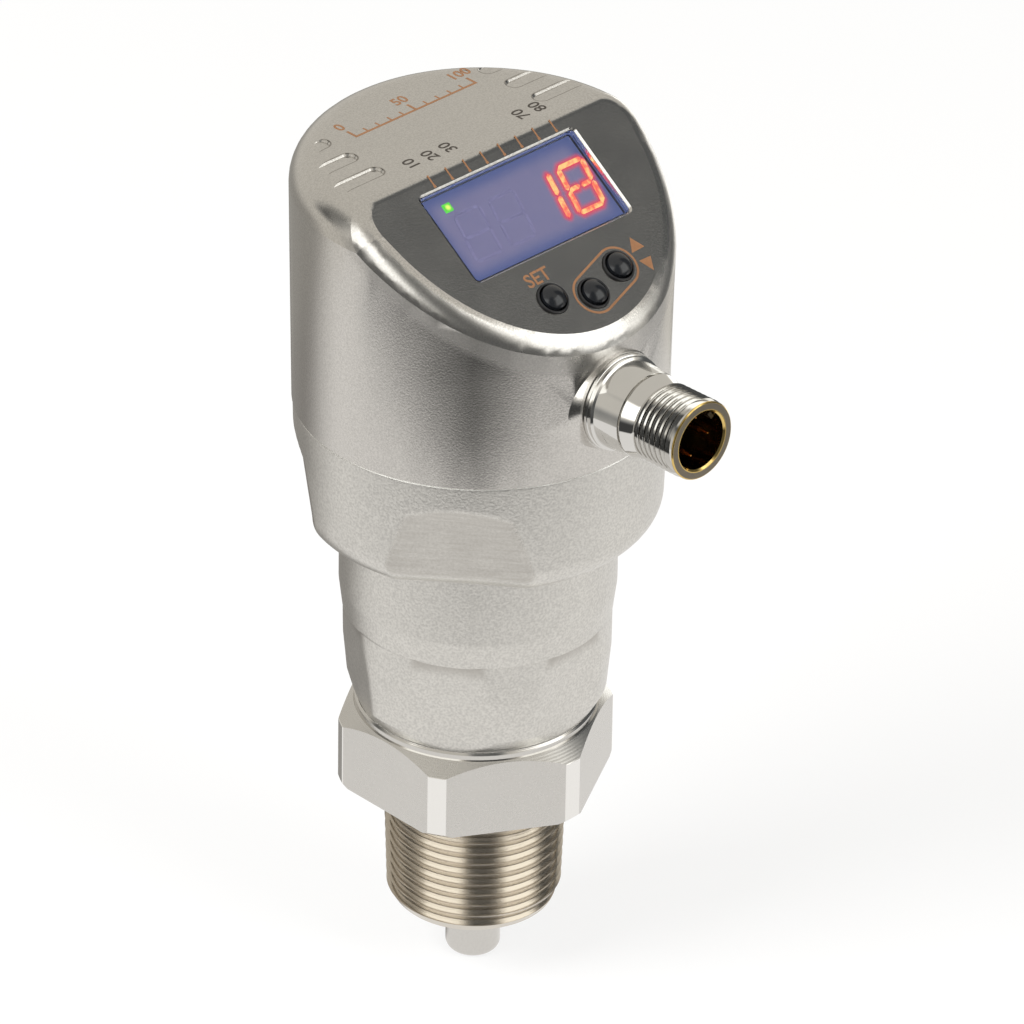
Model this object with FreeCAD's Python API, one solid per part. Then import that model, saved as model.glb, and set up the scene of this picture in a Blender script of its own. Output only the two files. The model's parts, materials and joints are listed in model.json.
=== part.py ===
import FreeCAD, Part
import math
import os

# Compact guided-wave radar level transmitter with a swivelling display housing.
# Millimetres, +Z up on the thread axis, origin on the hexagon's underside,
# display and connector towards -Y.  One STEP file per separate piece.

V = FreeCAD.Vector

# ---- general fits -----------------------------------------------------------
fit_gap = 0.10            # between pieces that are assembled and stay put
running_gap = 0.05        # radial gap of the swivel
moving_gap = 0.30         # between pieces that move past each other

# ---- process connection -----------------------------------------------------
hex_across_flats = 36.0
hex_height = 11.9
hex_corner_trim = 0.66         # turned off the hexagon's corners
hex_face_inset = 0.25          # turned top face inside the flats
hex_chamfer_drop = 1.9         # height of the cone over the corners
hex_lower_chamfer = 0.5
collar_inset = 0.45            # polished ring that the neck turns on, inside the flats
collar_height = 1.1
thread_pitch = 25.4 / 14       # 3/4-14 taper thread
thread_taper = 1 / 32          # radius gained for each mm of height
thread_crest_radius = 13.02    # crest at the small end
thread_depth = 1.30
thread_crest_flat = 0.14
thread_turns = 10
thread_relief = 1.5            # plain undercut below the hexagon
thread_lead_in = 1.2
bearing_width = 3.5            # of the neck's foot, out from the swivel spigot
spigot_rise = 4.0              # spigot end above the housing's floor
spigot_bore = 9.0
spigot_bore_depth = 6.0
turned_chamfer = 0.3

# ---- probe feed-through -----------------------------------------------------
stub_radius = 4.0
stub_reach = 10.4              # below the thread's end face
stub_edge_round = 1.4
stub_shoulder_radius = 6.0
stub_shoulder_height = 4.0
rod_thread_radius = 2.1        # tapping size of the M5 rod thread
rod_thread_depth = 8.0
insulator_radius = 8.0
insulator_length = 12.0
upper_insulator_length = 9.0
seal_cord = 1.8                # O-ring cord in the feed-through
nut_height = 6.0
nut_slot_width = 1.6
nut_slot_depth = 1.5
conductor_radius = 1.0
conductor_joint = 4.0          # overlap of the coax pin with the stub's socket
dielectric_radius = 3.0
coax_tube_radius = 4.0
coax_guide_length = 12.0       # bored part of the spigot above the nut

# ---- swivel -----------------------------------------------------------------
washer_thickness = 0.4
swivel_ring_cord = 2.0
swivel_ring_rises = (5.6, 11.6)   # above the neck's foot
circlip_thickness = 1.2
circlip_depth = 1.0
circlip_reach = 2.2
circlip_lug_radius = 1.9
circlip_lug_hole = 0.7
circlip_lug_angle = 14.0

# ---- lower housing ----------------------------------------------------------
neck_foot_inset = 0.5          # the neck's foot inside the hexagon's flats
neck_foot_bevel = 2.2
neck_foot_flare = 1.25         # radius gained over the bevel
neck_flare = 1.15              # radius gained from the bevel to the ledge
shell_overhang = 6.65          # the seam out past the neck
shell_draft = 0.35             # radius lost from the seam down to the collar
neck_rise = 15.1               # ledge above the foot
neck_flat_count = 6
neck_flat_angle = -56.0        # centre of the first flat, from the front
neck_flat_depth = 0.65         # depth of a flat at the ledge
neck_flat_lean = 0.115         # lean of the flats, mm per mm of height
neck_flat_runout = 3.5         # height of the slope in which a flat ends above the ledge
collar_rise = 15.2             # collar's lower edge above the ledge
collar_round = 4.5
collar_sweep = 80.0            # degrees of rounding before it runs out into the underside
shell_height = 18.9            # seam above the collar's lower edge
seam_bevel = 0.35
grip_flat_angles = (-130.0, -50.5, 81.0, 156.0)
grip_crease_rise = 12.8        # where a grip flat meets its steeper run-out
grip_depth = 1.1               # depth of a grip flat at the crease
grip_flat_lean = 0.15
grip_runout_lean = 0.6
floor_rise = 14.0              # floor that the circlip holds, above the ledge
floor_wall = 2.0               # wall of the neck round the floor
seat_wall = 5.35               # from the seam radius in to the bore under the carrier
seat_drop = 3.5                # depth of that bore below the carrier's seat
carrier_step_drop = 9.6        # carrier's seat below the seam
carrier_wall_gap = 3.15        # from the seam radius in to the carrier's bore
rim_height = 4.0
housing_ring_cord = 1.48
housing_ring_squeeze = 0.07    # how far the seal stands out of its groove
housing_groove_width = 1.7
housing_groove_depth = 1.5

# ---- upper housing ----------------------------------------------------------
wall = 1.0
cup_seam_step = 0.15           # the cup stands out past the lower housing
cup_flare = 0.45               # radius gained from the seam to the rim
cup_height = 39.4
cup_edge_round = 5.4
face_tilt = 34.7               # degrees from horizontal
face_lower_margin = 22.757     # window centre up the slope from the cup's side
face_upper_margin = 9.855      # window centre down the slope from the cup's top
face_edge_round = 3.2
slot_width = 2.65
slot_depth = 0.35
slot_bevel = 0.25              # slope of a slot's wall
slot_inset = 12.45             # inner end, in from the cup's side
slot_rows = (5.1, 10.5, 16.0)

# ---- display and keys, in the plane of the slanted face ---------------------
window_width = 29.7
window_height = 14.45
window_corner = 0.6
window_recess = 0.25
window_bevel = 0.3             # slope round the opening, from the face down to the pane
window_flange = 1.6
window_flange_thickness = 0.5
gasket_thickness = 0.3
frame_depth = 4.5
board_thickness = 1.6
display_board_low = -19.0
display_board_high = 8.8
board_corner = 3.0
digit_height = 7.9
digit_width = 5.2
digit_pitch = 6.6
digit_slant = 9.5
digit_stroke = 0.65
bar_gap = 0.25
digit_centre_u = 11.1
digit_centre_v = -0.44
segment_thickness = 0.3
segment_gap = 0.1
led_size = 1.3
led_u = -10.6
led_v = 4.7
key_places = {"button_enter": (-5.9, -14.0), "button_down": (0.6, -15.8), "button_up": (6.95, -13.8)}
key_radius = 1.85
key_rise = 0.75                # straight side above the face
key_dome = 0.85
key_travel = 0.5
key_lip = 0.22                 # wall of the seal's collar round each key
key_lip_rise = 0.35
seal_thickness = 0.6
key_flange = 0.9
key_flange_thickness = 0.5
key_stem_radius = 1.2
key_stem_length = 0.9
switch_size = 4.2
switch_plunger_radius = 1.0
switch_plunger_rise = 0.5

# ---- connector, along its own axis ------------------------------------------
plug_tilt = 2.0                # degrees above horizontal
plug_base_reach = 1.45         # seat in front of the lower housing's side
plug_base_rise = 10.5          # above the seam
plug_thread_radius = 6.0
plug_thread_start = 7.6
plug_thread_end = 15.25
plug_tip = 15.7
plug_flange_radius = 7.05
plug_flange_start = -0.45
plug_barrel_base = 6.6
plug_barrel_end = 6.25
plug_groove = 5.3
plug_groove_width = 0.35
plug_relief_radius = 5.5
plug_tail = -5.0
plug_bore = 4.3
plug_sleeve_wall = 0.7
plug_floor = 7.0
plug_insert_tail = -7.0
plug_hole_reach = 20.0
contact_circle = 2.83
contact_radius = 0.5
contact_turn = -10.0
contact_tip = 14.0
contact_point = 1.6
key_rib_width = 1.2
key_rib_height = 0.6
key_rib_end = 14.2
boss_root = -4.6
boss_tip_radius = 7.25
boss_hollow = 2.8              # radius of the hollow rounding from the boss to the cup's wall
dimple_radius = 0.6
dimple_place = 4.2
dimple_count = 4

# ---- electronics ------------------------------------------------------------
main_board_rise = 3.4          # above the seam
main_board_gap = 0.8           # between the board's edge and the carrier's bore
carrier_wall = 2.2
carrier_boss_radius = 3.0
carrier_boss_inset = 3.8
screw_radius = 1.25
screw_head_radius = 2.3
screw_head_height = 1.4
screw_length = 6.0
shield_width = 22.0
shield_depth = 15.0
shield_height = 4.5
shield_wall = 0.4
shield_centre_y = 7.0
ribbon_width = 12.0
ribbon_thickness = 0.3
ribbon_start = -4.0            # below the window centre, on the board's back
ribbon_bend = 4.0
flex_width = 7.0
flex_start = 1.5
flex_bend = 2.5
socket_radius = 3.5
socket_length = 8.0
socket_gap = 0.6

# ---- values that follow from the ones above ---------------------------------
thread_length = thread_relief + thread_turns * thread_pitch + thread_lead_in
thread_end = -thread_length
spigot_base = hex_height + collar_height
neck_foot = spigot_base + washer_thickness
hex_corner_radius = hex_across_flats / 2 / math.cos(math.radians(30)) - hex_corner_trim
hex_face_radius = hex_across_flats / 2 - hex_face_inset
collar_radius = hex_across_flats / 2 - collar_inset
neck_foot_radius = hex_across_flats / 2 - neck_foot_inset
neck_low_radius = neck_foot_radius + neck_foot_flare
neck_radius = neck_low_radius + neck_flare
swivel_radius = neck_foot_radius - bearing_width
neck_bore = swivel_radius + running_gap
shell_seam_radius = neck_radius + shell_overhang
neck_ledge_height = neck_foot + neck_rise
neck_flat_top = neck_radius - neck_flat_depth
collar_lower_edge = neck_ledge_height + collar_rise
grip_crease_height = collar_lower_edge + grip_crease_rise
seam_height = collar_lower_edge + shell_height
ledge_floor = neck_ledge_height + floor_rise
circlip_height = ledge_floor + fit_gap
swivel_top = ledge_floor + spigot_rise
carrier_step = seam_height - carrier_step_drop
shell_lower_radius = shell_seam_radius - shell_draft
grip_crease_distance = shell_seam_radius - grip_depth
floor_bore = neck_radius - floor_wall
seat_bore = shell_seam_radius - seat_wall
seat_floor = carrier_step - seat_drop
floor_top = seat_floor - seat_bore + floor_bore
carrier_bore = shell_seam_radius - carrier_wall_gap
cup_seam_radius = shell_seam_radius + cup_seam_step
cup_top_radius = cup_seam_radius + cup_flare
cup_top = seam_height + cup_height
rim_radius = cup_seam_radius - wall - fit_gap
main_board_height = seam_height + main_board_rise
main_board_radius = carrier_bore - main_board_gap
carrier_boss_circle = main_board_radius - carrier_boss_inset
coax_top = main_board_height - socket_length - socket_gap
insulator_top = thread_end + insulator_length
shoulder_top = insulator_top + stub_shoulder_height
upper_insulator_top = shoulder_top + upper_insulator_length
nut_top = upper_insulator_top + nut_height
stub_end = thread_end - stub_reach
tilt = math.radians(face_tilt)
face_origin = V(0, face_lower_margin * math.cos(tilt) - cup_top_radius,
                cup_top - face_upper_margin * math.sin(tilt))
face_up = V(0, math.cos(tilt), math.sin(tilt))
face_normal = V(0, -math.sin(tilt), math.cos(tilt))
plug_lean = math.radians(plug_tilt)
plug_axis = V(0, -math.cos(plug_lean), math.sin(plug_lean))
plug_origin = V(0, -(shell_seam_radius + plug_base_reach), seam_height + plug_base_rise)
key_hole_radius = key_radius + moving_gap + key_lip + fit_gap
window_back = -(wall + gasket_thickness + window_flange_thickness)
board_front = window_back - frame_depth


def revolve(points, turn=360):
    """Solid of revolution about Z from (radius, height) points."""
    wire = Part.makePolygon([V(r, 0, z) for r, z in points + points[:1]])
    return Part.Face(wire).revolve(V(0, 0, 0), V(0, 0, 1), turn)


def line_path(points):
    """Straight edges in the XZ plane from one (radius, height) point to the next."""
    return [Part.makeLine(V(r0, 0, z0), V(r1, 0, z1)) for (r0, z0), (r1, z1) in zip(points, points[1:])]


def arc_through(start, middle, end):
    return Part.Arc(V(start[0], 0, start[1]), V(middle[0], 0, middle[1]), V(end[0], 0, end[1])).toShape()


def revolve_edges(edges):
    """Solid of revolution about Z from a closed loop of edges in the XZ plane."""
    return Part.Face(Part.Wire(edges)).revolve(V(0, 0, 0), V(0, 0, 1), 360)


def rod(radius, low, high):
    return Part.makeCylinder(radius, high - low, V(0, 0, low))


def tube(outer, inner, low, high):
    return rod(outer, low, high).cut(rod(inner, low, high))


def cone(low_radius, high_radius, low, high):
    return Part.makeCone(low_radius, high_radius, high - low, V(0, 0, low))


def block(width, depth, low, high, x=0, y=0):
    return Part.makeBox(width, depth, high - low, V(x - width / 2, y - depth / 2, low))


def ring(centre_radius, cord_radius, height):
    return Part.makeTorus(centre_radius, cord_radius, V(0, 0, height))


def place(shape, origin, x_dir, y_dir, z_dir):
    """Moves a shape from its own axes to the given origin and directions."""
    matrix = FreeCAD.Matrix(
        x_dir.x, y_dir.x, z_dir.x, origin.x,
        x_dir.y, y_dir.y, z_dir.y, origin.y,
        x_dir.z, y_dir.z, z_dir.z, origin.z,
        0, 0, 0, 1)
    moved = shape.copy()
    moved.transformShape(matrix)
    return moved


def on_face(shape):
    """Local x across the slanted face, y up its slope, z out of it."""
    return place(shape, face_origin, V(1, 0, 0), face_up, face_normal)


def on_plug(shape):
    """Local z out along the connector, x across it, y upwards."""
    across = V(1, 0, 0)
    return place(shape, plug_origin, across, plug_axis.cross(across), plug_axis)


def rounded_plate(width, height, corner, low, high, u=0, v=0):
    plate = block(width, height, low, high, u, v)
    upright = [e for e in plate.Edges if abs(e.tangentAt(e.FirstParameter).z) > 0.99]
    return plate.makeFillet(corner, upright)


def around(angle):
    """Unit vector at an angle from the front, positive towards +X."""
    return V(math.sin(math.radians(angle)), -math.cos(math.radians(angle)), 0)


def cut_flat(shape, angle, low, high, distance_low, distance_high):
    """Cuts everything outside a leaning plane between two heights."""
    reach = 40.0
    outward = around(angle)
    across = V(-outward.y, outward.x, 0)
    corners = [
        outward * distance_low + V(0, 0, low),
        outward * reach + V(0, 0, low),
        outward * reach + V(0, 0, high),
        outward * distance_high + V(0, 0, high)]
    corners = [c - across * reach for c in corners]
    section = Part.Face(Part.makePolygon(corners + corners[:1]))
    return shape.cut(section.extrude(across * 2 * reach))


# ---- process side -----------------------------------------------------------

def taper_thread():
    """Revolved tooth profile of the taper thread, from the relief to the end face."""
    relief_radius = thread_crest_radius + thread_taper * thread_turns * thread_pitch - thread_depth
    root = hex_lower_chamfer
    points = [(0, root), (relief_radius, root), (relief_radius, -thread_relief)]
    for turn in range(thread_turns):
        start = -thread_relief - turn * thread_pitch
        middle = start - thread_pitch / 2
        crest = thread_crest_radius + thread_taper * (middle - thread_end - thread_lead_in)
        half = thread_crest_flat / 2
        points.append((crest, middle + half))
        points.append((crest, middle - half))
        points.append((crest - thread_depth, start - thread_pitch))
    end_radius = thread_crest_radius - thread_depth
    points += [(end_radius, thread_end), (0, thread_end)]
    return revolve(points)


def process_connection():
    hexagon_points = []
    for corner in range(7):
        direction = around(60.0 * corner)
        hexagon_points.append(direction * (hex_across_flats / 2 / math.cos(math.radians(30))))
    hexagon = Part.Face(Part.makePolygon(hexagon_points)).extrude(V(0, 0, hex_height))
    blank = revolve([
        (0, 0), (hex_corner_radius - hex_lower_chamfer, 0), (hex_corner_radius, hex_lower_chamfer),
        (hex_corner_radius, hex_height - hex_chamfer_drop), (hex_face_radius, hex_height), (0, hex_height)])
    body = hexagon.common(blank)
    groove_bottom = swivel_radius - swivel_ring_cord
    clip_bottom = swivel_radius - circlip_depth
    clip_low = circlip_height
    clip_high = circlip_height + circlip_thickness + fit_gap
    root = hex_height - collar_height
    profile = [(0, root), (collar_radius, root), (collar_radius, spigot_base - turned_chamfer),
               (collar_radius - turned_chamfer, spigot_base), (swivel_radius, spigot_base)]
    for rise in swivel_ring_rises:
        low = neck_foot + rise - swivel_ring_cord / 2 - fit_gap
        high = neck_foot + rise + swivel_ring_cord / 2 + fit_gap
        profile += [(swivel_radius, low), (groove_bottom, low)]
        profile += [(groove_bottom, high), (swivel_radius, high)]
    profile += [(swivel_radius, clip_low), (clip_bottom, clip_low), (clip_bottom, clip_high),
                (swivel_radius, clip_high), (swivel_radius, swivel_top - 2 * turned_chamfer),
                (swivel_radius - 2 * turned_chamfer, swivel_top), (0, swivel_top)]
    body = body.fuse([revolve(profile), taper_thread()])
    body = body.cut(rod(insulator_radius + fit_gap, thread_end - 1, nut_top))
    guide_top = nut_top + coax_guide_length
    funnel_top = swivel_top - spigot_bore_depth
    body = body.cut(rod(coax_tube_radius + fit_gap, nut_top - 1, guide_top))
    body = body.cut(cone(coax_tube_radius + fit_gap, spigot_bore, guide_top, funnel_top))
    return body.cut(rod(spigot_bore, funnel_top, swivel_top + 1)).removeSplitter()


def probe_stub():
    half_turn = stub_edge_round * (1 - math.cos(math.pi / 4))
    flat_end = (stub_radius - stub_edge_round, stub_end)
    middle = (stub_radius - half_turn, stub_end + half_turn)
    side_end = (stub_radius, stub_end + stub_edge_round)
    outline = [side_end, (stub_radius, insulator_top),
               (stub_shoulder_radius, insulator_top), (stub_shoulder_radius, shoulder_top),
               (stub_radius, shoulder_top), (stub_radius, upper_insulator_top), (0, upper_insulator_top),
               (0, stub_end), flat_end]
    body = revolve_edges(line_path(outline) + [arc_through(flat_end, middle, side_end)])
    hole = rod(rod_thread_radius, stub_end, stub_end + rod_thread_depth)
    hole_end = stub_end + rod_thread_depth
    tip = cone(rod_thread_radius, 0, hole_end, hole_end + rod_thread_radius * math.tan(math.radians(30)))
    socket = rod(conductor_radius + fit_gap, upper_insulator_top - conductor_joint, upper_insulator_top)
    return body.cut([hole, tip, socket])


def lower_insulator():
    return tube(insulator_radius, stub_radius + fit_gap, thread_end, insulator_top)


def upper_insulator():
    body = tube(insulator_radius, stub_radius + fit_gap, shoulder_top, upper_insulator_top)
    skirt = tube(insulator_radius, stub_shoulder_radius + fit_gap, insulator_top, shoulder_top)
    for height in seal_heights():
        low = height - seal_cord / 2 - fit_gap
        high = height + seal_cord / 2 + fit_gap
        body = body.cut(tube(insulator_radius, insulator_radius - seal_cord, low, high))
    return body.fuse(skirt).removeSplitter()


def seal_heights():
    spacing = upper_insulator_length / 3
    return (shoulder_top + spacing, shoulder_top + 2 * spacing)


def feedthrough_o_rings():
    return [ring(insulator_radius - seal_cord / 2 + fit_gap / 2, seal_cord / 2, h) for h in seal_heights()]


def feedthrough_nut():
    body = tube(insulator_radius, coax_tube_radius + fit_gap, upper_insulator_top, nut_top)
    for angle in (0, 90):
        slot = block(2 * insulator_radius + 2, nut_slot_width, nut_top - nut_slot_depth, nut_top + 1)
        body = body.cut(slot.rotate(V(0, 0, 0), V(0, 0, 1), angle))
    return body


def coax_pin():
    low = upper_insulator_top - conductor_joint + fit_gap
    high = coax_top + 0.7 * socket_length
    shank = high - 0.8 * conductor_radius
    point = cone(conductor_radius, 0.4 * conductor_radius, shank, high)
    return rod(conductor_radius, low, shank).fuse(point)


def coax_dielectric():
    return tube(dielectric_radius, conductor_radius + fit_gap, upper_insulator_top, coax_top)


def coax_tube():
    return tube(coax_tube_radius, dielectric_radius + fit_gap, upper_insulator_top, coax_top)


def slide_washer():
    return tube(neck_foot_radius - 2 * turned_chamfer, swivel_radius + fit_gap, spigot_base, neck_foot)


def swivel_o_rings():
    middle = swivel_radius - swivel_ring_cord / 2 + running_gap / 2
    return [ring(middle, swivel_ring_cord / 2 - running_gap / 4, neck_foot + rise)
            for rise in swivel_ring_rises]


def circlip():
    """External retaining ring with two drilled lugs beside its gap."""
    inner = swivel_radius - circlip_depth + fit_gap
    outer = swivel_radius + circlip_reach
    low = circlip_height + fit_gap / 2
    high = low + circlip_thickness
    body = tube(outer, inner, low, high)
    lugs = []
    holes = []
    for side in (-1, 1):
        spot = around(180 + side * circlip_lug_angle) * (outer - circlip_lug_hole)
        lugs.append(rod(circlip_lug_radius, low, high).translate(spot))
        holes.append(rod(circlip_lug_hole, low, high).translate(spot))
    body = body.fuse(lugs).cut(holes).cut(rod(inner, low, high))
    opening = 2 * outer * math.sin(math.radians(circlip_lug_angle / 2))
    return body.cut(block(opening, 2 * outer, low, high, 0, outer)).removeSplitter()


# ---- lower housing ----------------------------------------------------------

def neck():
    """Neck with its bore, foot and ring of flats, up to the sloping floor inside the collar."""
    body = revolve([
        (neck_bore, neck_foot), (neck_foot_radius, neck_foot),
        (neck_low_radius, neck_foot + neck_foot_bevel), (neck_radius, neck_ledge_height),
        (neck_radius, floor_top), (floor_bore, floor_top), (floor_bore, ledge_floor),
        (neck_bore, ledge_floor)])
    pitch = 360.0 / neck_flat_count
    foot_distance = neck_flat_top - neck_flat_lean * (neck_ledge_height - neck_foot)
    runout_top = neck_ledge_height + neck_flat_runout
    for flat in range(neck_flat_count):
        angle = neck_flat_angle + flat * pitch
        body = cut_flat(body, angle, neck_foot, neck_ledge_height, foot_distance, neck_flat_top)
        body = cut_flat(body, angle, neck_ledge_height, runout_top, neck_flat_top, neck_radius + fit_gap)
    return body


def collar_corner(radius, below):
    """Rounding under the collar as three edges in XZ: its arc and the run-out to a depth below."""
    centre = (radius - collar_round, collar_lower_edge + collar_round)
    turns = [math.radians(collar_sweep * share) for share in (0, 0.5, 1)]
    start, middle, end = [(centre[0] + collar_round * math.cos(turn),
                           centre[1] - collar_round * math.sin(turn)) for turn in turns]
    drop = end[1] - collar_lower_edge + below
    foot = (end[0] - drop * math.tan(turns[-1]), collar_lower_edge - below)
    return start, middle, end, foot


def collar_blank():
    """Collar before its grip flats, round underneath."""
    start, middle, end, foot = collar_corner(shell_lower_radius, 0)
    points = [
        start, (shell_seam_radius, seam_height - seam_bevel),
        (shell_seam_radius - seam_bevel, seam_height), (rim_radius, seam_height),
        (rim_radius, seam_height + rim_height), (carrier_bore, seam_height + rim_height),
        (carrier_bore, carrier_step), (seat_bore, carrier_step), (seat_bore, seat_floor),
        (floor_bore, floor_top), (floor_bore, collar_lower_edge), foot, end]
    return revolve_edges(line_path(points) + [arc_through(end, middle, start)])


def under_flat(angle, distance):
    """What the rounding below a grip flat cuts away."""
    reach = 40.0
    start, middle, end, foot = collar_corner(distance, 0.2)
    points = [end, foot, (reach, foot[1]), (reach, start[1]), start]
    outline = Part.Wire(line_path(points) + [arc_through(start, middle, end)])
    cutter = Part.Face(outline).extrude(V(0, 2 * reach, 0)).translate(V(0, -reach, 0))
    return cutter.rotate(V(0, 0, 0), V(0, 0, 1), angle - 90)


def collar():
    """Collar with its grip flats and the rounding that runs on below them."""
    body = collar_blank()
    low = collar_lower_edge + collar_round
    low_distance = grip_crease_distance - grip_flat_lean * (grip_crease_height - low)
    high = seam_height - seam_bevel
    high_distance = grip_crease_distance + grip_runout_lean * (high - grip_crease_height)
    for angle in grip_flat_angles:
        body = body.cut(under_flat(angle, low_distance))
        body = cut_flat(body, angle, low, grip_crease_height, low_distance, grip_crease_distance)
        body = cut_flat(body, angle, grip_crease_height, high, grip_crease_distance, high_distance)
    return body


def lower_housing():
    return collar().fuse(neck()).cut(o_ring_groove()).removeSplitter()


def o_ring_groove():
    middle = seam_height + rim_height / 2
    half = housing_groove_width / 2
    return tube(rim_radius + wall, rim_radius - housing_groove_depth, middle - half, middle + half)


def housing_o_ring():
    cord_radius = housing_ring_cord / 2
    return ring(rim_radius + housing_ring_squeeze - cord_radius, cord_radius, seam_height + rim_height / 2)


# ---- upper housing ----------------------------------------------------------

def cup_solid(inset):
    """The cup's outside, or its inside when inset by the wall."""
    top = cup_top - inset
    seam_radius = cup_seam_radius - inset
    edge = cup_edge_round - inset
    slope = (cup_top_radius - cup_seam_radius) / (cup_top - cup_edge_round - seam_height)
    turn_height = cup_top - cup_edge_round
    top_radius = cup_top_radius - inset
    low = seam_height
    middle = (top_radius - edge * (1 - math.cos(math.pi / 4)), top - edge * (1 - math.sin(math.pi / 4)))
    side_end = (top_radius, turn_height)
    top_start = (top_radius - edge, top)
    outline = [top_start, (0, top), (0, low), (seam_radius, low), side_end]
    body = revolve_edges(line_path(outline) + [arc_through(side_end, middle, top_start)])
    cutter = on_face(block(4 * cup_top_radius, 4 * cup_top_radius, -inset, cup_top_radius))
    body = body.cut(cutter)
    rim = [e for e in body.Edges if on_slanted_plane(e, inset)]
    return body.makeFillet(face_edge_round - inset, rim)


def on_slanted_plane(edge, inset):
    first, last = edge.ParameterRange
    for parameter in (first, last, (first + last) / 2):
        depth = (edge.valueAt(parameter) - face_origin).dot(face_normal) + inset
        if abs(depth) > 1e-4:
            return False
    return True


def plug_hole(radius):
    return on_plug(rod(radius, -plug_hole_reach, plug_hole_reach))


def slot_cutter(row, side):
    """One stamped slot: round at its inner end, running out over the rim."""
    radius = slot_width / 2
    centre = side * (cup_top_radius - slot_inset + radius)
    low = cup_top - slot_depth
    end = Part.makeCylinder(radius, slot_depth + 1, V(centre, row, low))
    reach = cup_top_radius
    run = block(reach, slot_width, low, cup_top + 1, centre + side * reach / 2, row)
    cutter = end.fuse(run).removeSplitter()
    floor_edges = [edge for edge in cutter.Edges if edge.BoundBox.ZMax < low + 1e-6]
    return cutter.makeChamfer(slot_bevel, floor_edges)


def window_opening():
    """Cutter for the window: straight through, with a slope round its edge."""
    opening = window_plate(0, window_corner, -2 * wall, wall)
    slope = window_plate(window_bevel, window_corner + window_bevel, -window_bevel, wall)
    floor_edges = [edge for edge in slope.Edges if edge.BoundBox.ZMax < -window_bevel + 1e-6]
    return [on_face(opening), on_face(slope.makeChamfer(window_bevel - 0.01, floor_edges))]


def connector_boss():
    """Round boss that flows out of the cup's wall in a hollow rounding."""
    start = (boss_tip_radius, plug_flange_start)
    end = (boss_tip_radius + boss_hollow, plug_flange_start - boss_hollow)
    reach = boss_hollow * (1 - math.cos(math.pi / 4))
    middle = (boss_tip_radius + reach, end[1] + reach)
    points = [end, (end[0], boss_root), (0, boss_root), (0, plug_flange_start), start]
    return on_plug(revolve_edges(line_path(points) + [arc_through(start, middle, end)]))


def upper_housing():
    body = cup_solid(0)
    body = body.fuse(connector_boss()).cut(cup_solid(wall))
    body = body.cut(plug_hole(plug_thread_radius + fit_gap))
    body = body.cut(window_opening())
    body = body.cut([on_face(key_cylinder(name, key_hole_radius, -2 * wall, wall)) for name in key_places])
    body = body.cut([slot_cutter(row, side) for row in slot_rows for side in (-1, 1)])
    return body.removeSplitter()


# ---- display ----------------------------------------------------------------

def window_plate(growth, corner, low, high):
    return rounded_plate(window_width + 2 * growth, window_height + 2 * growth, corner, low, high)


def display_window():
    seat = -(wall + gasket_thickness)
    front = window_plate(-fit_gap, window_corner, seat, -window_recess)
    flange = window_plate(window_flange, window_flange, window_back, seat)
    return on_face(front.fuse(flange).removeSplitter())


def window_gasket():
    seat = -(wall + gasket_thickness)
    outside = window_plate(window_flange, window_flange, seat, -wall)
    return on_face(outside.cut(window_plate(0, window_corner, seat - 1, 0)))


def display_frame():
    outside = window_plate(window_flange, window_flange, board_front, window_back)
    return on_face(outside.cut(window_plate(-fit_gap, window_corner, board_front - 1, 0)))


def display_module():
    front = window_back - segment_gap - segment_thickness
    return on_face(window_plate(-3 * fit_gap, window_corner, board_front, front))


def segment_bar(centre_x, centre_y, length, upright):
    """One bar of a digit with pointed ends, before the slant."""
    half = length / 2
    thick = digit_stroke / 2
    outline = [(-half, 0), (-half + thick, thick), (half - thick, thick), (half, 0),
               (half - thick, -thick), (-half + thick, -thick)]
    if upright:
        outline = [(y, x) for x, y in outline]
    return [(centre_x + x, centre_y + y) for x, y in outline]


def digit(name, centre_u, centre_v):
    """Lit bars of one digit; its middle bar is in two halves, g and h."""
    lit = {"1": "bc", "8": "abcdefgh"}[name]
    across = digit_width - digit_stroke
    rise = (digit_height - digit_stroke) / 2
    level = across - bar_gap
    upright = rise - bar_gap
    centre_bar = (across - bar_gap) / 2 - bar_gap
    bars = {
        "a": (0, rise, level, False), "d": (0, -rise, level, False),
        "g": (-across / 4, 0, centre_bar, False), "h": (across / 4, 0, centre_bar, False),
        "f": (-across / 2, rise / 2, upright, True), "b": (across / 2, rise / 2, upright, True),
        "e": (-across / 2, -rise / 2, upright, True), "c": (across / 2, -rise / 2, upright, True)}
    low = window_back - segment_gap - segment_thickness
    slant = math.tan(math.radians(digit_slant))
    solids = []
    for letter in lit:
        outline = [V(centre_u + x + y * slant, centre_v + y, low) for x, y in segment_bar(*bars[letter])]
        bar = Part.Face(Part.makePolygon(outline + outline[:1]))
        solids.append(bar.extrude(V(0, 0, segment_thickness)))
    return solids


def display_digits():
    bars = digit("8", digit_centre_u, digit_centre_v)
    bars += digit("1", digit_centre_u - digit_pitch, digit_centre_v)
    return [on_face(bar) for bar in bars]


def status_led():
    low = window_back - segment_gap - segment_thickness
    return on_face(block(led_size, led_size, low, low + segment_thickness, led_u, led_v))


def display_board():
    width = window_width + 2 * window_flange
    height = display_board_high - display_board_low
    middle = (display_board_high + display_board_low) / 2
    low = board_front - board_thickness
    board = rounded_plate(width, height, board_corner, low, board_front, 0, middle)
    return on_face(board)


# ---- keys -------------------------------------------------------------------

def key_cylinder(name, radius, low, high):
    u, v = key_places[name]
    return Part.makeCylinder(radius, high - low, V(u, v, low))


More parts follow.
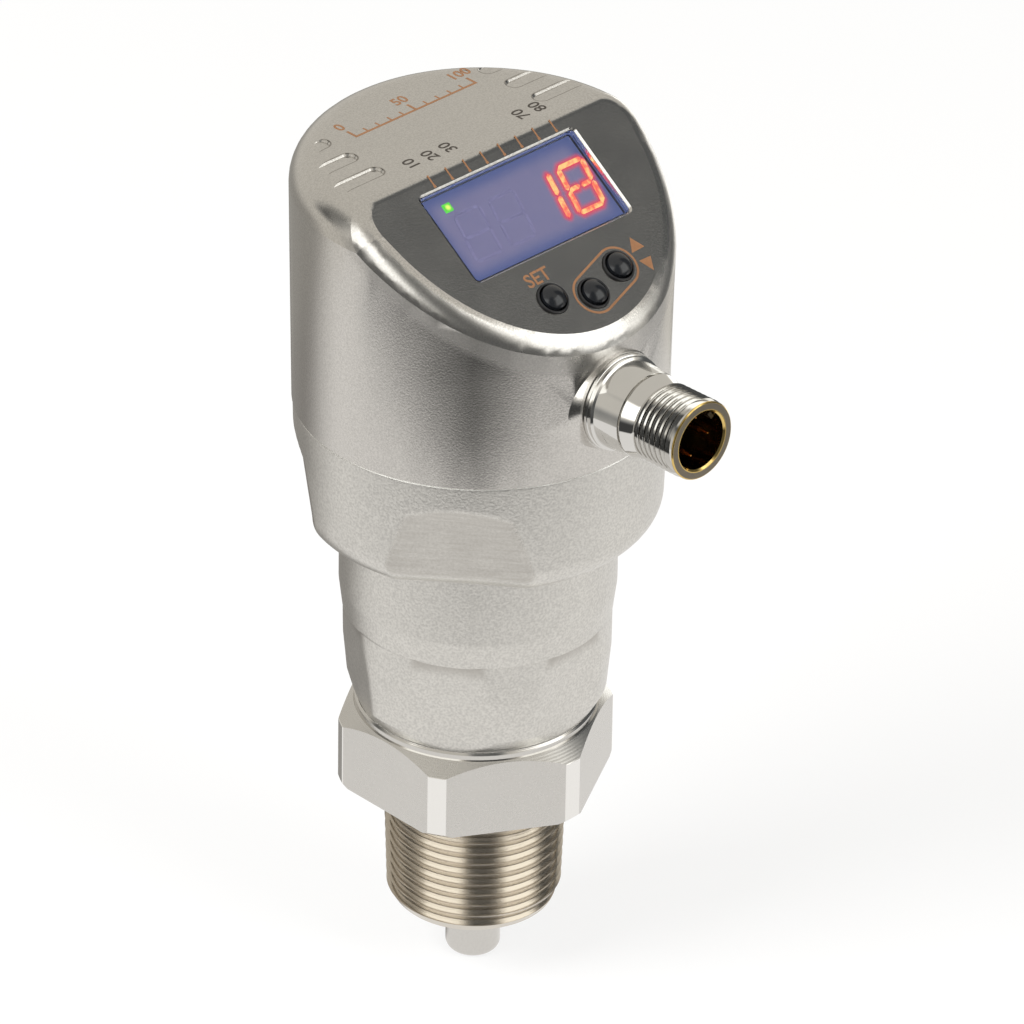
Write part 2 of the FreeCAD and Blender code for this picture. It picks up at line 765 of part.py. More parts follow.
def keypad_seal():
    """Moulded mat behind the face with a collar and lip round each key."""
    low = -(wall + seal_thickness)
    collar = key_radius + moving_gap + key_lip
    pads = [key_cylinder(name, collar + 0.7, low, -wall) for name in key_places]
    places = list(key_places.values())
    for (u0, v0), (u1, v1) in zip(places, places[1:]):
        length = math.hypot(u1 - u0, v1 - v0)
        link = Part.makeBox(length, 2 * key_radius, seal_thickness, V(0, -key_radius, low))
        link = link.rotate(V(0, 0, 0), V(0, 0, 1), math.degrees(math.atan2(v1 - v0, u1 - u0)))
        pads.append(link.translate(V(u0, v0, 0)))
    collars = [key_cylinder(name, collar, low, key_lip_rise) for name in key_places]
    holes = [key_cylinder(name, key_radius + moving_gap, low - 1, 1) for name in key_places]
    return on_face(pads[0].fuse(pads[1:] + collars).cut(holes).removeSplitter())


def key_levels():
    flange_top = -(wall + seal_thickness + moving_gap)
    flange_low = flange_top - key_flange_thickness
    return flange_top, flange_low, flange_low - key_stem_length


def key(name):
    """Push button: domed cap, retaining flange and stem."""
    flange_top, flange_low, stem_end = key_levels()
    u, v = key_places[name]
    ball = (key_radius ** 2 + key_dome ** 2) / (2 * key_dome)
    top = key_rise + key_dome
    dome = Part.makeSphere(ball, V(u, v, top - ball)).common(key_cylinder(name, key_radius, key_rise, top))
    body = key_cylinder(name, key_radius, flange_low, key_rise).fuse([
        dome, key_cylinder(name, key_radius + key_flange, flange_low, flange_top),
        key_cylinder(name, key_stem_radius, stem_end, flange_low)])
    return on_face(body.removeSplitter())


def key_switches():
    plunger_top = key_levels()[2] - key_travel - fit_gap
    body_top = plunger_top - switch_plunger_rise
    switches = []
    for name, (u, v) in key_places.items():
        case = block(switch_size, switch_size, board_front, body_top, u, v)
        switches.append(on_face(case.fuse(key_cylinder(name, switch_plunger_radius, body_top, plunger_top))))
    return switches


# ---- connector --------------------------------------------------------------

def connector_shell():
    seat = plug_flange_start
    relief_end = plug_thread_start - 0.25
    profile = [
        (plug_bore + plug_sleeve_wall + fit_gap, plug_tail), (plug_thread_radius, plug_tail),
        (plug_thread_radius, seat), (plug_flange_radius - 0.15, seat), (plug_flange_radius, seat + 0.15),
        (plug_flange_radius, seat + 0.6), (plug_flange_radius - 0.35, seat + 0.75),
        (plug_flange_radius - 0.1, seat + 0.95), (plug_flange_radius - 0.1, seat + 1.3),
        (plug_barrel_base, seat + 1.5), (plug_barrel_end, plug_groove),
        (plug_barrel_end - 0.4, plug_groove + 0.05), (plug_barrel_end - 0.4, plug_groove + plug_groove_width),
        (plug_barrel_end - 0.08, plug_groove + plug_groove_width + 0.05),
        (plug_relief_radius + 0.15, relief_end - 0.35), (plug_relief_radius, relief_end),
        (plug_thread_radius, plug_thread_start), (plug_thread_radius, plug_thread_end),
        (plug_thread_radius - 0.2, plug_thread_end + 0.2),
        (plug_bore + plug_sleeve_wall + fit_gap, plug_thread_end + 0.2)]
    body = revolve(profile)
    spot = V(0, plug_barrel_base - 0.2 + dimple_radius * 0.55, dimple_place)
    for number in range(dimple_count):
        dimple = Part.makeSphere(dimple_radius, spot)
        body = body.cut(dimple.rotate(V(0, 0, 0), V(0, 0, 1), 360 / dimple_count * number))
    return on_plug(body)


def connector_sleeve():
    """Gold-plated liner with a rounded lip over the shell's end."""
    outer = plug_bore + plug_sleeve_wall
    lip = plug_thread_radius - 0.25
    seat = plug_thread_end + 0.2
    profile = [
        (plug_bore, plug_floor - 2), (outer, plug_floor - 2), (outer, seat), (lip, seat),
        (lip, plug_tip - 0.12), (lip - 0.12, plug_tip), (plug_bore + 0.25, plug_tip),
        (plug_bore, plug_tip - 0.25)]
    return on_plug(revolve(profile))


def contacts():
    for quarter in range(4):
        angle = math.radians(contact_turn + 90 * quarter)
        yield V(contact_circle * math.cos(angle), contact_circle * math.sin(angle), 0)


def connector_insert():
    """Contact carrier with its keying rib along the bore."""
    bore = plug_bore - fit_gap
    body = rod(bore, plug_insert_tail, plug_floor)
    shoulder = plug_bore + plug_sleeve_wall
    body = body.fuse(tube(shoulder, bore - 0.5, plug_insert_tail + 1, plug_floor - 2 - fit_gap))
    rib = block(key_rib_width, key_rib_height, plug_floor, key_rib_end, 0, bore - key_rib_height / 2)
    rib = rib.common(rod(bore, plug_floor, key_rib_end))
    rib = rib.rotate(V(0, 0, 0), V(0, 0, 1), contact_turn - 45)
    hole = rod(contact_radius + fit_gap / 2, -plug_hole_reach, plug_hole_reach)
    holes = [hole.copy().translate(spot) for spot in contacts()]
    return on_plug(body.fuse(rib).cut(holes).removeSplitter())


def connector_pins():
    pins = []
    for spot in contacts():
        shank = contact_tip - contact_point
        pin = rod(contact_radius, plug_insert_tail, shank)
        pin = pin.fuse(cone(contact_radius, 0.12, shank, contact_tip))
        pins.append(on_plug(pin.translate(spot).removeSplitter()))
    return pins


def strip(path, width, thickness):
    """Flat ribbon along a path in the YZ plane, made of straight runs and arcs."""
    start = path[0]
    run = start.tangentAt(start.FirstParameter)
    side = V(1, 0, 0).cross(run)
    origin = start.valueAt(start.FirstParameter)
    corners = [origin + V(x * width / 2, 0, 0) + side * (t * thickness / 2)
               for x, t in ((-1, -1), (1, -1), (1, 1), (-1, 1))]
    section = Part.makePolygon(corners + corners[:1])
    return Part.Wire(path).makePipeShell([section], True, True)


def bend(start, run, next_run, radius):
    """Arc that turns from one run to the next; also gives its end point."""
    normal = run.cross(next_run)
    normal.normalize()
    centre = start + normal.cross(run) * radius
    end = centre - normal.cross(next_run) * radius
    middle = run + next_run
    middle.normalize()
    half = centre - normal.cross(middle) * radius
    return Part.Arc(start, half, end).toShape(), end


def connector_flex():
    """Flexible strip from the contact tails down to the main board."""
    inward = plug_axis * -1
    start = plug_origin + plug_axis * plug_insert_tail
    corner = start + inward * flex_start
    arc, end = bend(corner, inward, V(0, 0, -1), flex_bend)
    foot = V(0, end.y, main_board_height + board_thickness)
    path = [Part.makeLine(start, corner), arc, Part.makeLine(end, foot)]
    return strip(path, flex_width, ribbon_thickness)


def board_ribbon():
    """Ribbon from the display board's back down to the main board."""
    back = face_origin + face_up * ribbon_start + face_normal * (board_front - board_thickness)
    inward = face_normal * -1
    corner = back + inward * ribbon_bend
    arc, end = bend(corner, inward, V(0, 0, -1), ribbon_bend)
    foot = V(0, end.y, main_board_height + board_thickness)
    path = [Part.makeLine(back, corner), arc, Part.makeLine(end, foot)]
    return strip(path, ribbon_width, ribbon_thickness)


# ---- electronics ------------------------------------------------------------

def screw_places():
    return [around(angle) * carrier_boss_circle for angle in (60, 180, 300)]


def board_carrier():
    outer = carrier_bore - fit_gap
    inner = outer - carrier_wall
    body = tube(outer, inner, carrier_step, main_board_height)
    bosses = []
    holes = []
    for spot in screw_places():
        bosses.append(rod(carrier_boss_radius, carrier_step, main_board_height).translate(spot))
        hole = rod(screw_radius + fit_gap / 2, main_board_height - screw_length, main_board_height + 1)
        holes.append(hole.translate(spot))
    return body.fuse(bosses).cut(holes).removeSplitter()


def main_board():
    top = main_board_height + board_thickness
    holes = [rod(screw_radius + fit_gap, main_board_height, top).translate(spot) for spot in screw_places()]
    return rod(main_board_radius, main_board_height, top).cut(holes)


def board_screws():
    top = main_board_height + board_thickness
    screws = []
    for spot in screw_places():
        head = rod(screw_head_radius, top, top + screw_head_height)
        body = rod(screw_radius, top - screw_length, top).fuse(head)
        slot = Part.makeBox(0.6, 2 * screw_head_radius + 1, 1, V(-0.3, -screw_head_radius - 0.5,
                                                                  top + screw_head_height - 0.6))
        screws.append(body.cut(slot).translate(spot).removeSplitter())
    return screws


def shield_can():
    low = main_board_height + board_thickness
    outside = rounded_plate(shield_width, shield_depth, 1.0, low, low + shield_height, 0, shield_centre_y)
    inside = block(shield_width - 2 * shield_wall, shield_depth - 2 * shield_wall, low - 1,
                   low + shield_height - shield_wall, 0, shield_centre_y)
    return outside.cut(inside)


def coax_socket():
    low = main_board_height - socket_length
    body = rod(socket_radius, low, main_board_height)
    bore = conductor_radius + moving_gap
    mouth = cone(bore + 0.5, bore, low - 0.01, low + 0.7)
    return body.cut([rod(bore, low - 1, main_board_height - 1.5), mouth])


parts = {
    "process_connection": process_connection,
    "probe_stub": probe_stub,
    "lower_insulator": lower_insulator,
    "upper_insulator": upper_insulator,
    "feedthrough_o_rings": feedthrough_o_rings,
    "feedthrough_nut": feedthrough_nut,
    "coax_pin": coax_pin,
    "coax_dielectric": coax_dielectric,
    "coax_tube": coax_tube,
    "slide_washer": slide_washer,
    "swivel_o_rings": swivel_o_rings,
    "circlip": circlip,
    "lower_housing": lower_housing,
    "housing_o_ring": housing_o_ring,
    "upper_housing": upper_housing,
    "display_window": display_window,
    "window_gasket": window_gasket,
    "display_frame": display_frame,
    "display_module": display_module,
    "display_digits": display_digits,
    "status_led": status_led,
    "display_board": display_board,
    "board_ribbon": board_ribbon,
    "keypad_seal": keypad_seal,
    "key_switches": key_switches,
    "connector_shell": connector_shell,
    "connector_sleeve": connector_sleeve,
    "connector_insert": connector_insert,
    "connector_pins": connector_pins,
    "connector_flex": connector_flex,
    "board_carrier": board_carrier,
    "main_board": main_board,
    "board_screws": board_screws,
    "shield_can": shield_can,
    "coax_socket": coax_socket,
}

os.makedirs("parts", exist_ok=True)
for name in key_places:
    parts[name] = lambda name=name: key(name)
for name, make in parts.items():
    shape = make()
    if isinstance(shape, list):
        shape = Part.makeCompound(shape)
    shape.exportStep(f"parts/{name}.step")
    print(name, len(shape.Solids), round(shape.Volume, 2))
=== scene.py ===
import json
import math

import bmesh
import bpy
from mathutils import Matrix, Vector


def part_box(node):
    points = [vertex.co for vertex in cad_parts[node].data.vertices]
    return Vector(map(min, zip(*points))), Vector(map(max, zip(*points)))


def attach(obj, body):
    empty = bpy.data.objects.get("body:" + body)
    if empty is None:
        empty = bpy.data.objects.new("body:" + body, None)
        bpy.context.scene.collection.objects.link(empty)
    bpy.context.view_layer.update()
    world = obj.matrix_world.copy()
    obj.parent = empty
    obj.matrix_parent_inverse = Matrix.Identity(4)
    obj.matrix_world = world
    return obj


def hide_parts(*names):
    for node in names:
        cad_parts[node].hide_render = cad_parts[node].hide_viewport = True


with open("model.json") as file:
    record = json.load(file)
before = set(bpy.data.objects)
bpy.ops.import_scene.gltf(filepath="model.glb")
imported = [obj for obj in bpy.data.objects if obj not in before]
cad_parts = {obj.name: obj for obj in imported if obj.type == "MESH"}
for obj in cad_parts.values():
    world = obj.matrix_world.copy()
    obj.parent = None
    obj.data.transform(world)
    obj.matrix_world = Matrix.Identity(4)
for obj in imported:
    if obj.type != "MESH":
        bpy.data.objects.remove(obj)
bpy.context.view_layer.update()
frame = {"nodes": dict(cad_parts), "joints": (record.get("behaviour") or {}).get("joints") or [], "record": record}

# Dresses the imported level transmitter: finishes for every piece, true helical threads, softened grip
# flats on the lower housing, the lit display and the printed marks. Lengths are millimetres times mm.

mm = 0.001
nodes = frame["nodes"]
joints = {joint["name"]: joint for joint in frame["joints"]}
mounts = {mount["name"]: mount for mount in frame["record"]["mounts"]}


class Wire:
    # One output of a node. Arithmetic between wires and numbers adds Math nodes.

    def __init__(self, graph, socket):
        self.graph = graph
        self.socket = socket

    def maths(self, operation, first, second=0.0, third=0.0):
        return self.graph.node("ShaderNodeMath", {"operation": operation}, {0: first, 1: second, 2: third})

    def __add__(self, other):
        return self.maths("ADD", self, other)

    def __radd__(self, other):
        return self.maths("ADD", other, self)

    def __sub__(self, other):
        return self.maths("SUBTRACT", self, other)

    def __rsub__(self, other):
        return self.maths("SUBTRACT", other, self)

    def __mul__(self, other):
        return self.maths("MULTIPLY", self, other)

    def __rmul__(self, other):
        return self.maths("MULTIPLY", other, self)

    def __truediv__(self, other):
        return self.maths("DIVIDE", self, other)

    def __rtruediv__(self, other):
        return self.maths("DIVIDE", other, self)

    def __abs__(self):
        return self.maths("ABSOLUTE", self)


class Graph:
    # A node tree being written, for a finish, the studio or a Geometry Nodes modifier.

    def __init__(self, tree):
        self.tree = tree

    def node(self, kind, settings=None, sockets=None, out=0):
        made = self.tree.nodes.new(kind)
        for key, value in (settings or {}).items():
            setattr(made, key, value)
        self.fill(made, sockets or {})
        return Wire(self, made.outputs[out])

    def fill(self, made, sockets):
        # Links or sets a node's inputs.
        for key, value in sockets.items():
            if isinstance(value, Wire):
                self.tree.links.new(value.socket, made.inputs[key])
            else:
                made.inputs[key].default_value = value

    def smooth(self, value, low, high):
        # 0 at low and 1 at high, eased at both ends. low may be the larger.
        return self.node("ShaderNodeMapRange", {"interpolation_type": "SMOOTHSTEP"},
                         {"Value": value, "From Min": low, "From Max": high})

    def ramp(self, value, low, high):
        # The same between limits in millimetres.
        return self.smooth(value, low * mm, high * mm)

    def vector(self, operation, first, second=(0, 0, 0), out=0):
        return self.node("ShaderNodeVectorMath", {"operation": operation}, {0: first, 1: second}, out)

    def dot(self, place, direction):
        return self.vector("DOT_PRODUCT", place, tuple(direction), "Value")

    def length(self, vector):
        return self.vector("LENGTH", vector, out="Value")

    def blend(self, factor, first, second):
        return self.node("ShaderNodeMix", {"data_type": "RGBA"}, {0: factor, 6: first, 7: second}, 2)

    def split(self, vector):
        return [self.node("ShaderNodeSeparateXYZ", None, {0: vector}, axis) for axis in range(3)]

    def radius(self, place):
        # Distance from the Z axis.
        return self.length(self.vector("MULTIPLY", place, (1, 1, 0)))

    def bearing(self, x, y):
        # Angle about Z, from the front.
        return x.maths("ARCTAN2", x, y * -1)


class Finish(Graph):
    # A material on Object coordinates, so that its pattern keeps its real size on every piece.

    def __init__(self, name):
        self.material = bpy.data.materials.new(name)
        self.material.use_nodes = True
        super().__init__(self.material.node_tree)
        self.shader = self.tree.nodes["Principled BSDF"]
        self.place = self.node("ShaderNodeTexCoord", out="Object")

    def mapped(self, **settings):
        return self.node("ShaderNodeMapping", None, dict(settings, Vector=self.place))

    def offset(self, origin):
        return self.vector("SUBTRACT", self.place, tuple(origin))

    def noise(self, size, detail=2.0, place=None):
        # size is the width of one spot, in millimetres.
        return self.node("ShaderNodeTexNoise", None,
                         {"Vector": place or self.place, "Scale": 1 / (size * mm), "Detail": detail})

    def bump(self, height, depth, normal=None):
        # depth in millimetres for a height of 0 to 1.
        sockets = {"Height": height, "Distance": depth * mm, "Strength": 1.0}
        if normal:
            sockets["Normal"] = normal
        return self.node("ShaderNodeBump", None, sockets)

    def uneven(self, mask, colour, low, high):
        # A colour that runs from low to high times itself.
        return self.blend(mask, tinted(colour, low), tinted(colour, high))

    def shade(self, sockets):
        self.fill(self.shader, sockets)
        return self.material

    def metal(self, colour, roughness, normal):
        return self.shade({"Base Color": colour, "Metallic": 1.0, "Roughness": roughness, "Normal": normal})


def tinted(colour, factor=1.0):
    return tuple(part * factor for part in colour) + (1.0,)


def span(node, direction, origin=Vector()):
    # Lowest and highest distance of a node's vertices along a direction.
    reach = [(vertex.co - origin).dot(direction) for vertex in nodes[node].data.vertices]
    return min(reach), max(reach)


faceNormal = -Vector(joints["button_up_press"]["axis"]).normalized()
faceAcross = Vector((1, 0, 0))
faceUp = faceNormal.cross(faceAcross)
faceLevel = span("upper_housing", faceNormal)[1]
faceOrigin = faceNormal * faceLevel + faceUp * (sum(span("display_window", faceUp)) / 2)
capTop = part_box("upper_housing")[1].z
plugAxis = Vector(mounts["plug_thread"]["axis"]).normalized()
plugMiddle = Vector(mounts["plug_thread"]["pos_m"])
plugAcross = Vector((1, 0, 0))
plugUp = plugAxis.cross(plugAcross)
plugTip = span("connector_sleeve", plugAxis, plugMiddle)[1]
plugLength = mounts["plug_thread"]["dims"]["length_mm"]
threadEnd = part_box("process_connection")[0].z


def axes(across, up, out, origin):
    return Matrix.Translation(origin) @ Matrix((across, up, out)).transposed().to_4x4()


def placed(name, data):
    # A new object in the scene, at the origin.
    made = bpy.data.objects.new(name, data)
    bpy.context.scene.collection.objects.link(made)
    return made


onFace = axes(faceAcross, faceUp, faceNormal, faceOrigin)
onCap = Matrix.Translation((0, 0, capTop))
onPlug = axes(plugAcross, plugUp, plugAxis, plugMiddle)


def table(columns, rows):
    # A dictionary of values by column for each row.
    return {name: dict(zip(columns.split(), values)) for name, values in rows.items()}


# Metals. grain, blotch: width of a spot; swing: unevenness of the polish; mottle: share of dark grain.
steels = table("tint roughness swing grain depth blotch blotchShare mottle", {
    "blastedSteel": ((0.77, 0.755, 0.72), 0.31, 0.10, 0.36, 0.030, 4.0, 0.07, 0.55),
    "springSteel": ((0.50, 0.49, 0.48), 0.32, 0.10, 0.4, 0.003, 4.0, 0.10, 0.10),
    "tinPlate": ((0.62, 0.62, 0.60), 0.35, 0.12, 0.6, 0.002, 3.0, 0.10, 0.10),
    "nickelPlate": ((0.74, 0.73, 0.71), 0.045, 0.05, 0.5, 0.0008, 4.0, 0.04, 0.04),
    "brass": ((0.72, 0.50, 0.22), 0.30, 0.10, 0.4, 0.002, 3.0, 0.12, 0.10),
    "contactGold": ((0.80, 0.36, 0.10), 0.22, 0.08, 0.3, 0.001, 1.5, 0.12, 0.10),
})


def steelSurface(finish, look):
    # Shared parts of a metal: blotches, fine dark mottling, uneven polish and grain.
    blotches = finish.noise(look["blotch"], 3.0)
    grain = finish.noise(look["grain"], 3.0)
    light = finish.uneven(blotches, look["tint"], 1 - look["blotchShare"], 1 + look["blotchShare"])
    colour = finish.blend(finish.smooth(grain, 0.3, 0.7) * look["mottle"], light, tinted(look["tint"], 0.66))
    roughness = look["roughness"] + (grain - 0.5) * look["swing"] + (blotches - 0.5) * look["swing"]
    return colour, roughness, finish.bump(grain, look["depth"])


def steelFinish(name):
    finish = Finish(name)
    return finish.metal(*steelSurface(finish, steels[name]))


# The drawn cup: painted shade in a dark line along the edges of the slots in its cap, and a duller
# rounding beside the slanted face, which reaches from beadLow to beadHigh under the face and stops
# short of the cap.
cup = {"tint": (0.705, 0.685, 0.655), "roughness": 0.17, "swing": 0.06, "grain": 0.27, "depth": 0.008,
       "blotch": 7.0, "blotchShare": 0.03, "mottle": 0.46,
       "slots": (5.1, 10.5, 16.0), "slotEnd": 16.025, "slotRadius": 1.36, "line": 0.17,
       "grimeTint": (0.17, 0.15, 0.13), "grimeLow": 0.35, "grimeSwing": 0.6, "grimeSpot": 1.6, "grimeRough": 0.1,
       "beadLow": -5.0, "beadHigh": -0.03, "beadRough": 0.12}


def cupFinish(look):
    finish = Finish("drawnCup")
    colour, roughness, normal = steelSurface(finish, look)
    x, y, z = finish.split(finish.place)
    inward = x.maths("MAXIMUM", look["slotEnd"] * mm - abs(x), 0.0)
    # Painted shade: a dark, uneven line round each slot in the cap.
    outline = x * 0
    for slot in look["slots"]:
        off = y - slot * mm
        edge = x.maths("SQRT", inward * inward + off * off) - look["slotRadius"] * mm
        outline = outline + finish.ramp(abs(edge), look["line"], look["line"] * 0.2)
    outline = outline * finish.smooth(z, capTop - 0.16 * mm, capTop - 0.08 * mm)
    outline = outline * (look["grimeLow"] + finish.noise(look["grimeSpot"], 3.0) * look["grimeSwing"])
    level = finish.dot(finish.offset(faceOrigin), faceNormal)
    onBead = finish.ramp(level, look["beadLow"], look["beadLow"] + 1.5)
    onBead = onBead * finish.ramp(level, look["beadHigh"], look["beadHigh"] - 0.27)
    onBead = onBead * finish.smooth(z, capTop - 0.5 * mm, capTop - 2.5 * mm)
    return finish.metal(finish.blend(outline, colour, tinted(look["grimeTint"])),
                        roughness + outline * look["grimeRough"] + onBead * look["beadRough"], normal)


# The 3/4 inch taper pipe thread; the turned finish follows its crests.
taperThread = {"pitch": 25.4 / 14, "turns": 10.35, "crestRadius": 13.02, "depth": 1.24, "crest": 0.30,
               "taper": 1 / 32, "lift": 0.5, "relief": 1.2, "reach": 1.44, "steps": 150, "fade": 0.45,
               "body": "process", "slot": "turned_steel"}
turned = {"tint": (0.68, 0.665, 0.64), "roughness": 0.11, "swing": 0.06, "grain": 0.35, "depth": 0.001,
          "blotch": 6.0, "blotchShare": 0.04, "mottle": 0.08, "feed": 0.16, "feedDepth": 0.0022,
          "arcReach": 58.0, "arcPitch": 0.42, "arcDepth": 0.004, "hexRadius": 17.7, "hexRough": 0.17,
          # The first tint on the next line is the near-white of the painted highlights on corners and crests.
          "edgeTint": (0.93, 0.92, 0.90), "edgeRadius": 20.0, "edgePolish": 0.14,
          "threadTint": (0.71, 0.67, 0.61), "threadTop": -0.9, "threadRough": 0.09,
          "crestBand": 0.26, "crestRough": 0.10}


def turnedFinish(look):
    # Turned bar: feed lines round the axis, and curved cutter marks on the milled hexagon.
    finish = Finish("turnedSteel")
    colour, roughness, grained = steelSurface(finish, look)
    z = finish.split(finish.place)[2]
    wave = 0.05 * math.tau / mm
    feed = finish.node("ShaderNodeTexWave", {"wave_type": "BANDS", "bands_direction": "Z"},
                       {"Vector": finish.place, "Scale": wave / look["feed"],
                        "Distortion": 0.6, "Detail": 2.0, "Detail Scale": 1.5})
    arcs = finish.node("ShaderNodeTexWave", {"wave_type": "RINGS", "rings_direction": "SPHERICAL"},
                       {"Vector": finish.mapped(Location=(0, 0, -look["arcReach"] * mm)),
                        "Scale": wave / look["arcPitch"], "Distortion": 1.4, "Detail": 2.0, "Detail Scale": 0.4})
    radius = finish.radius(finish.place)
    onHex = finish.ramp(radius, look["hexRadius"], look["hexRadius"] + 0.25) * finish.ramp(z, -0.2, 0.1)
    ringed = finish.bump(feed * (1 - onHex), look["feedDepth"], grained)
    normal = finish.bump(arcs * onHex, look["arcDepth"], ringed)
    # The hexagon's turned corners and the thread's crests carry painted highlights in near-white;
    # the thread is dull between its crests.
    onEdge = onHex * finish.ramp(radius, look["edgeRadius"], look["edgeRadius"] + 0.06)
    onThread = finish.ramp(z, look["threadTop"], look["threadTop"] - 0.4) * finish.ramp(radius, 11.0, 11.5)
    crest = taperThread["crestRadius"] * mm + (z - threadEnd) * taperThread["taper"]
    onCrest = onThread * finish.ramp(radius - crest, -look["crestBand"], -0.08)
    colour = finish.blend(onThread, colour, tinted(look["threadTint"]))
    colour = finish.blend(onEdge + onCrest, colour, tinted(look["edgeTint"]))
    roughness = roughness + onHex * look["hexRough"] - onEdge * look["edgePolish"]
    roughness = roughness + onThread * look["threadRough"] + onCrest * look["crestRough"]
    return finish.metal(colour, roughness, normal)


sleeve = {"gold": (0.78, 0.56, 0.20), "annulus": (0.20, 0.185, 0.165), "roughness": 0.14,
          "innerLip": 4.68, "outerLip": 5.58, "edge": 0.05, "cavityDepth": 6.0}


def sleeveFinish():
    # Gold plate, bright on both lips, dull grey on the flat ring between them, with painted shade down the bore.
    finish = Finish("goldPlate")
    offset = finish.offset(plugMiddle)
    along = finish.dot(offset, plugAxis)
    flat = finish.vector("SUBTRACT", offset, finish.node("ShaderNodeVectorMath", {"operation": "SCALE"},
                                                         {0: tuple(plugAxis), "Scale": along}))
    radius = finish.length(flat)
    inner, outer, edge = (sleeve[key] for key in ("innerLip", "outerLip", "edge"))
    annulus = finish.ramp(radius, inner - edge, inner + edge) * finish.ramp(radius, outer + edge, outer - edge)
    # Painted shade: the gold darkens with depth down the bore.
    depth = finish.smooth(along, plugTip - 0.5 * mm, plugTip - sleeve["cavityDepth"] * mm)
    blotches = finish.noise(0.8, 3.0)
    gold = finish.uneven(blotches, sleeve["gold"], 0.9, 1.08)
    shadedBore = finish.blend(depth, gold, tinted(sleeve["gold"], 0.12))
    colour = finish.blend(annulus * (0.85 + blotches * 0.15), shadedBore, tinted(sleeve["annulus"]))
    return finish.metal(colour, sleeve["roughness"] + annulus * 0.2 + (blotches - 0.5) * 0.1,
                        finish.bump(finish.noise(0.25), 0.0012))


mouldings = table("tint roughness swing grain depth", {
    "keyPlastic": ((0.010, 0.011, 0.013), 0.17, 0.08, 0.5, 0.002),
    "keyRubber": ((0.016, 0.016, 0.017), 0.42, 0.15, 0.2, 0.006),
    "sealRubber": ((0.014, 0.014, 0.014), 0.50, 0.15, 0.25, 0.005),
    "blackPlastic": ((0.020, 0.020, 0.022), 0.45, 0.12, 0.3, 0.008),
    "darkInsert": ((0.022, 0.014, 0.008), 0.38, 0.12, 0.3, 0.008),
    "insulator": ((0.78, 0.77, 0.74), 0.45, 0.10, 0.6, 0.004),
    "dielectric": ((0.82, 0.81, 0.79), 0.35, 0.10, 0.8, 0.003),
    "ribbonFilm": ((0.45, 0.17, 0.03), 0.25, 0.10, 1.0, 0.002),
})


def mouldedFinish(name):
    finish = Finish(name)
    look = mouldings[name]
    grain = finish.noise(look["grain"], 3.0)
    colour = finish.uneven(finish.noise(look["grain"] * 9), look["tint"], 0.82, 1.2)
    return finish.shade({"Base Color": colour, "Roughness": look["roughness"] + (grain - 0.5) * look["swing"],
                         "Normal": finish.bump(grain, look["depth"])})


board = {"mask": (0.012, 0.085, 0.030), "copper": (0.03, 0.16, 0.055), "track": 1.6, "roughness": 0.32}


def boardFinish():
    # Solder mask with tracks showing under it.
    finish = Finish("circuitBoard")
    tracks = finish.node("ShaderNodeTexBrick", {"offset": 0.37},
                         {"Vector": finish.place, "Scale": 1 / (board["track"] * 4 * mm), "Mortar Size": 0.045,
                          "Mortar Smooth": 0.2, "Color1": (0, 0, 0, 1), "Color2": (0.12, 0.12, 0.12, 1),
                          "Mortar": (1, 1, 1, 1)}, "Fac")
    colour = finish.blend(tracks, tinted(board["copper"]), tinted(board["mask"]))
    return finish.shade({"Base Color": colour, "Roughness": board["roughness"] + finish.noise(0.7) * 0.1,
                         "Normal": finish.bump(tracks, 0.03)})


window = {"tint": (0.93, 0.94, 0.98), "roughness": 0.03, "bloom": 0.05, "refraction": 1.46}


def windowFinish():
    finish = Finish("windowGlass")
    haze = finish.noise(3.0, 3.0)
    colour = finish.uneven(haze, window["tint"], 0.98, 1.0)
    return finish.shade({"Base Color": colour, "Roughness": window["roughness"] + haze * window["bloom"],
                         "Transmission Weight": 1.0, "IOR": window["refraction"],
                         "Normal": finish.bump(haze, 0.002)})


panel = {"rim": (0.095, 0.125, 0.285), "middle": (0.215, 0.205, 0.335), "glow": (0.90, 0.055, 0.10),
         "rimWidth": 2.6, "glowReach": 1.2, "width": 29.1, "height": 13.85, "across": 230, "up": 110}


def panelFinish():
    # The lit filter behind the pane: blue towards its edges, violet inside, red round the reading.
    finish = Finish("displayFilter")
    clouds = finish.noise(2.2, 4.0)
    inside = 0.75 + clouds * 0.5
    for direction, extent in ((faceAcross, panel["width"]), (faceUp, panel["height"])):
        off = abs(finish.dot(finish.offset(faceOrigin), direction))
        inside = inside * finish.ramp(off, extent / 2, extent / 2 - panel["rimWidth"])
    backlight = finish.blend(inside, tinted(panel["rim"]), tinted(panel["middle"]))
    halo = finish.node("ShaderNodeAttribute", {"attribute_name": "halo"}, out="Fac")
    colour = finish.blend(halo, backlight, tinted(panel["glow"]))
    return finish.shade({"Base Color": (0.01, 0.01, 0.015, 1), "Roughness": 0.5, "Emission Color": colour,
                         "Emission Strength": 1.0, "Specular IOR Level": 0.2,
                         "Normal": finish.bump(clouds, 0.01)})


def surroundFinish():
    # The black frame round the panel; its front face carries the panel's light out to the pane's edges.
    finish = Finish("litSurround")
    front = span("display_frame", faceNormal)[1]
    level = finish.dot(finish.place, faceNormal)
    clouds = finish.noise(2.2, 4.0)
    light = finish.uneven(clouds, panel["rim"], 0.85, 1.15)
    glow = finish.blend(finish.smooth(level, front - 0.3 * mm, front - 0.05 * mm), (0, 0, 0, 1), light)
    return finish.shade({"Base Color": (0.02, 0.02, 0.022, 1), "Roughness": 0.4 + clouds * 0.1,
                         "Emission Color": glow, "Emission Strength": 1.0, "Normal": finish.bump(clouds, 0.01)})


lit = {"core": (1.0, 0.62, 0.22), "edge": (1.0, 0.16, 0.10), "strength": 1.15,
       "green": (0.10, 0.72, 0.06), "greenCore": (0.85, 1.0, 0.16), "greenReach": 0.62}


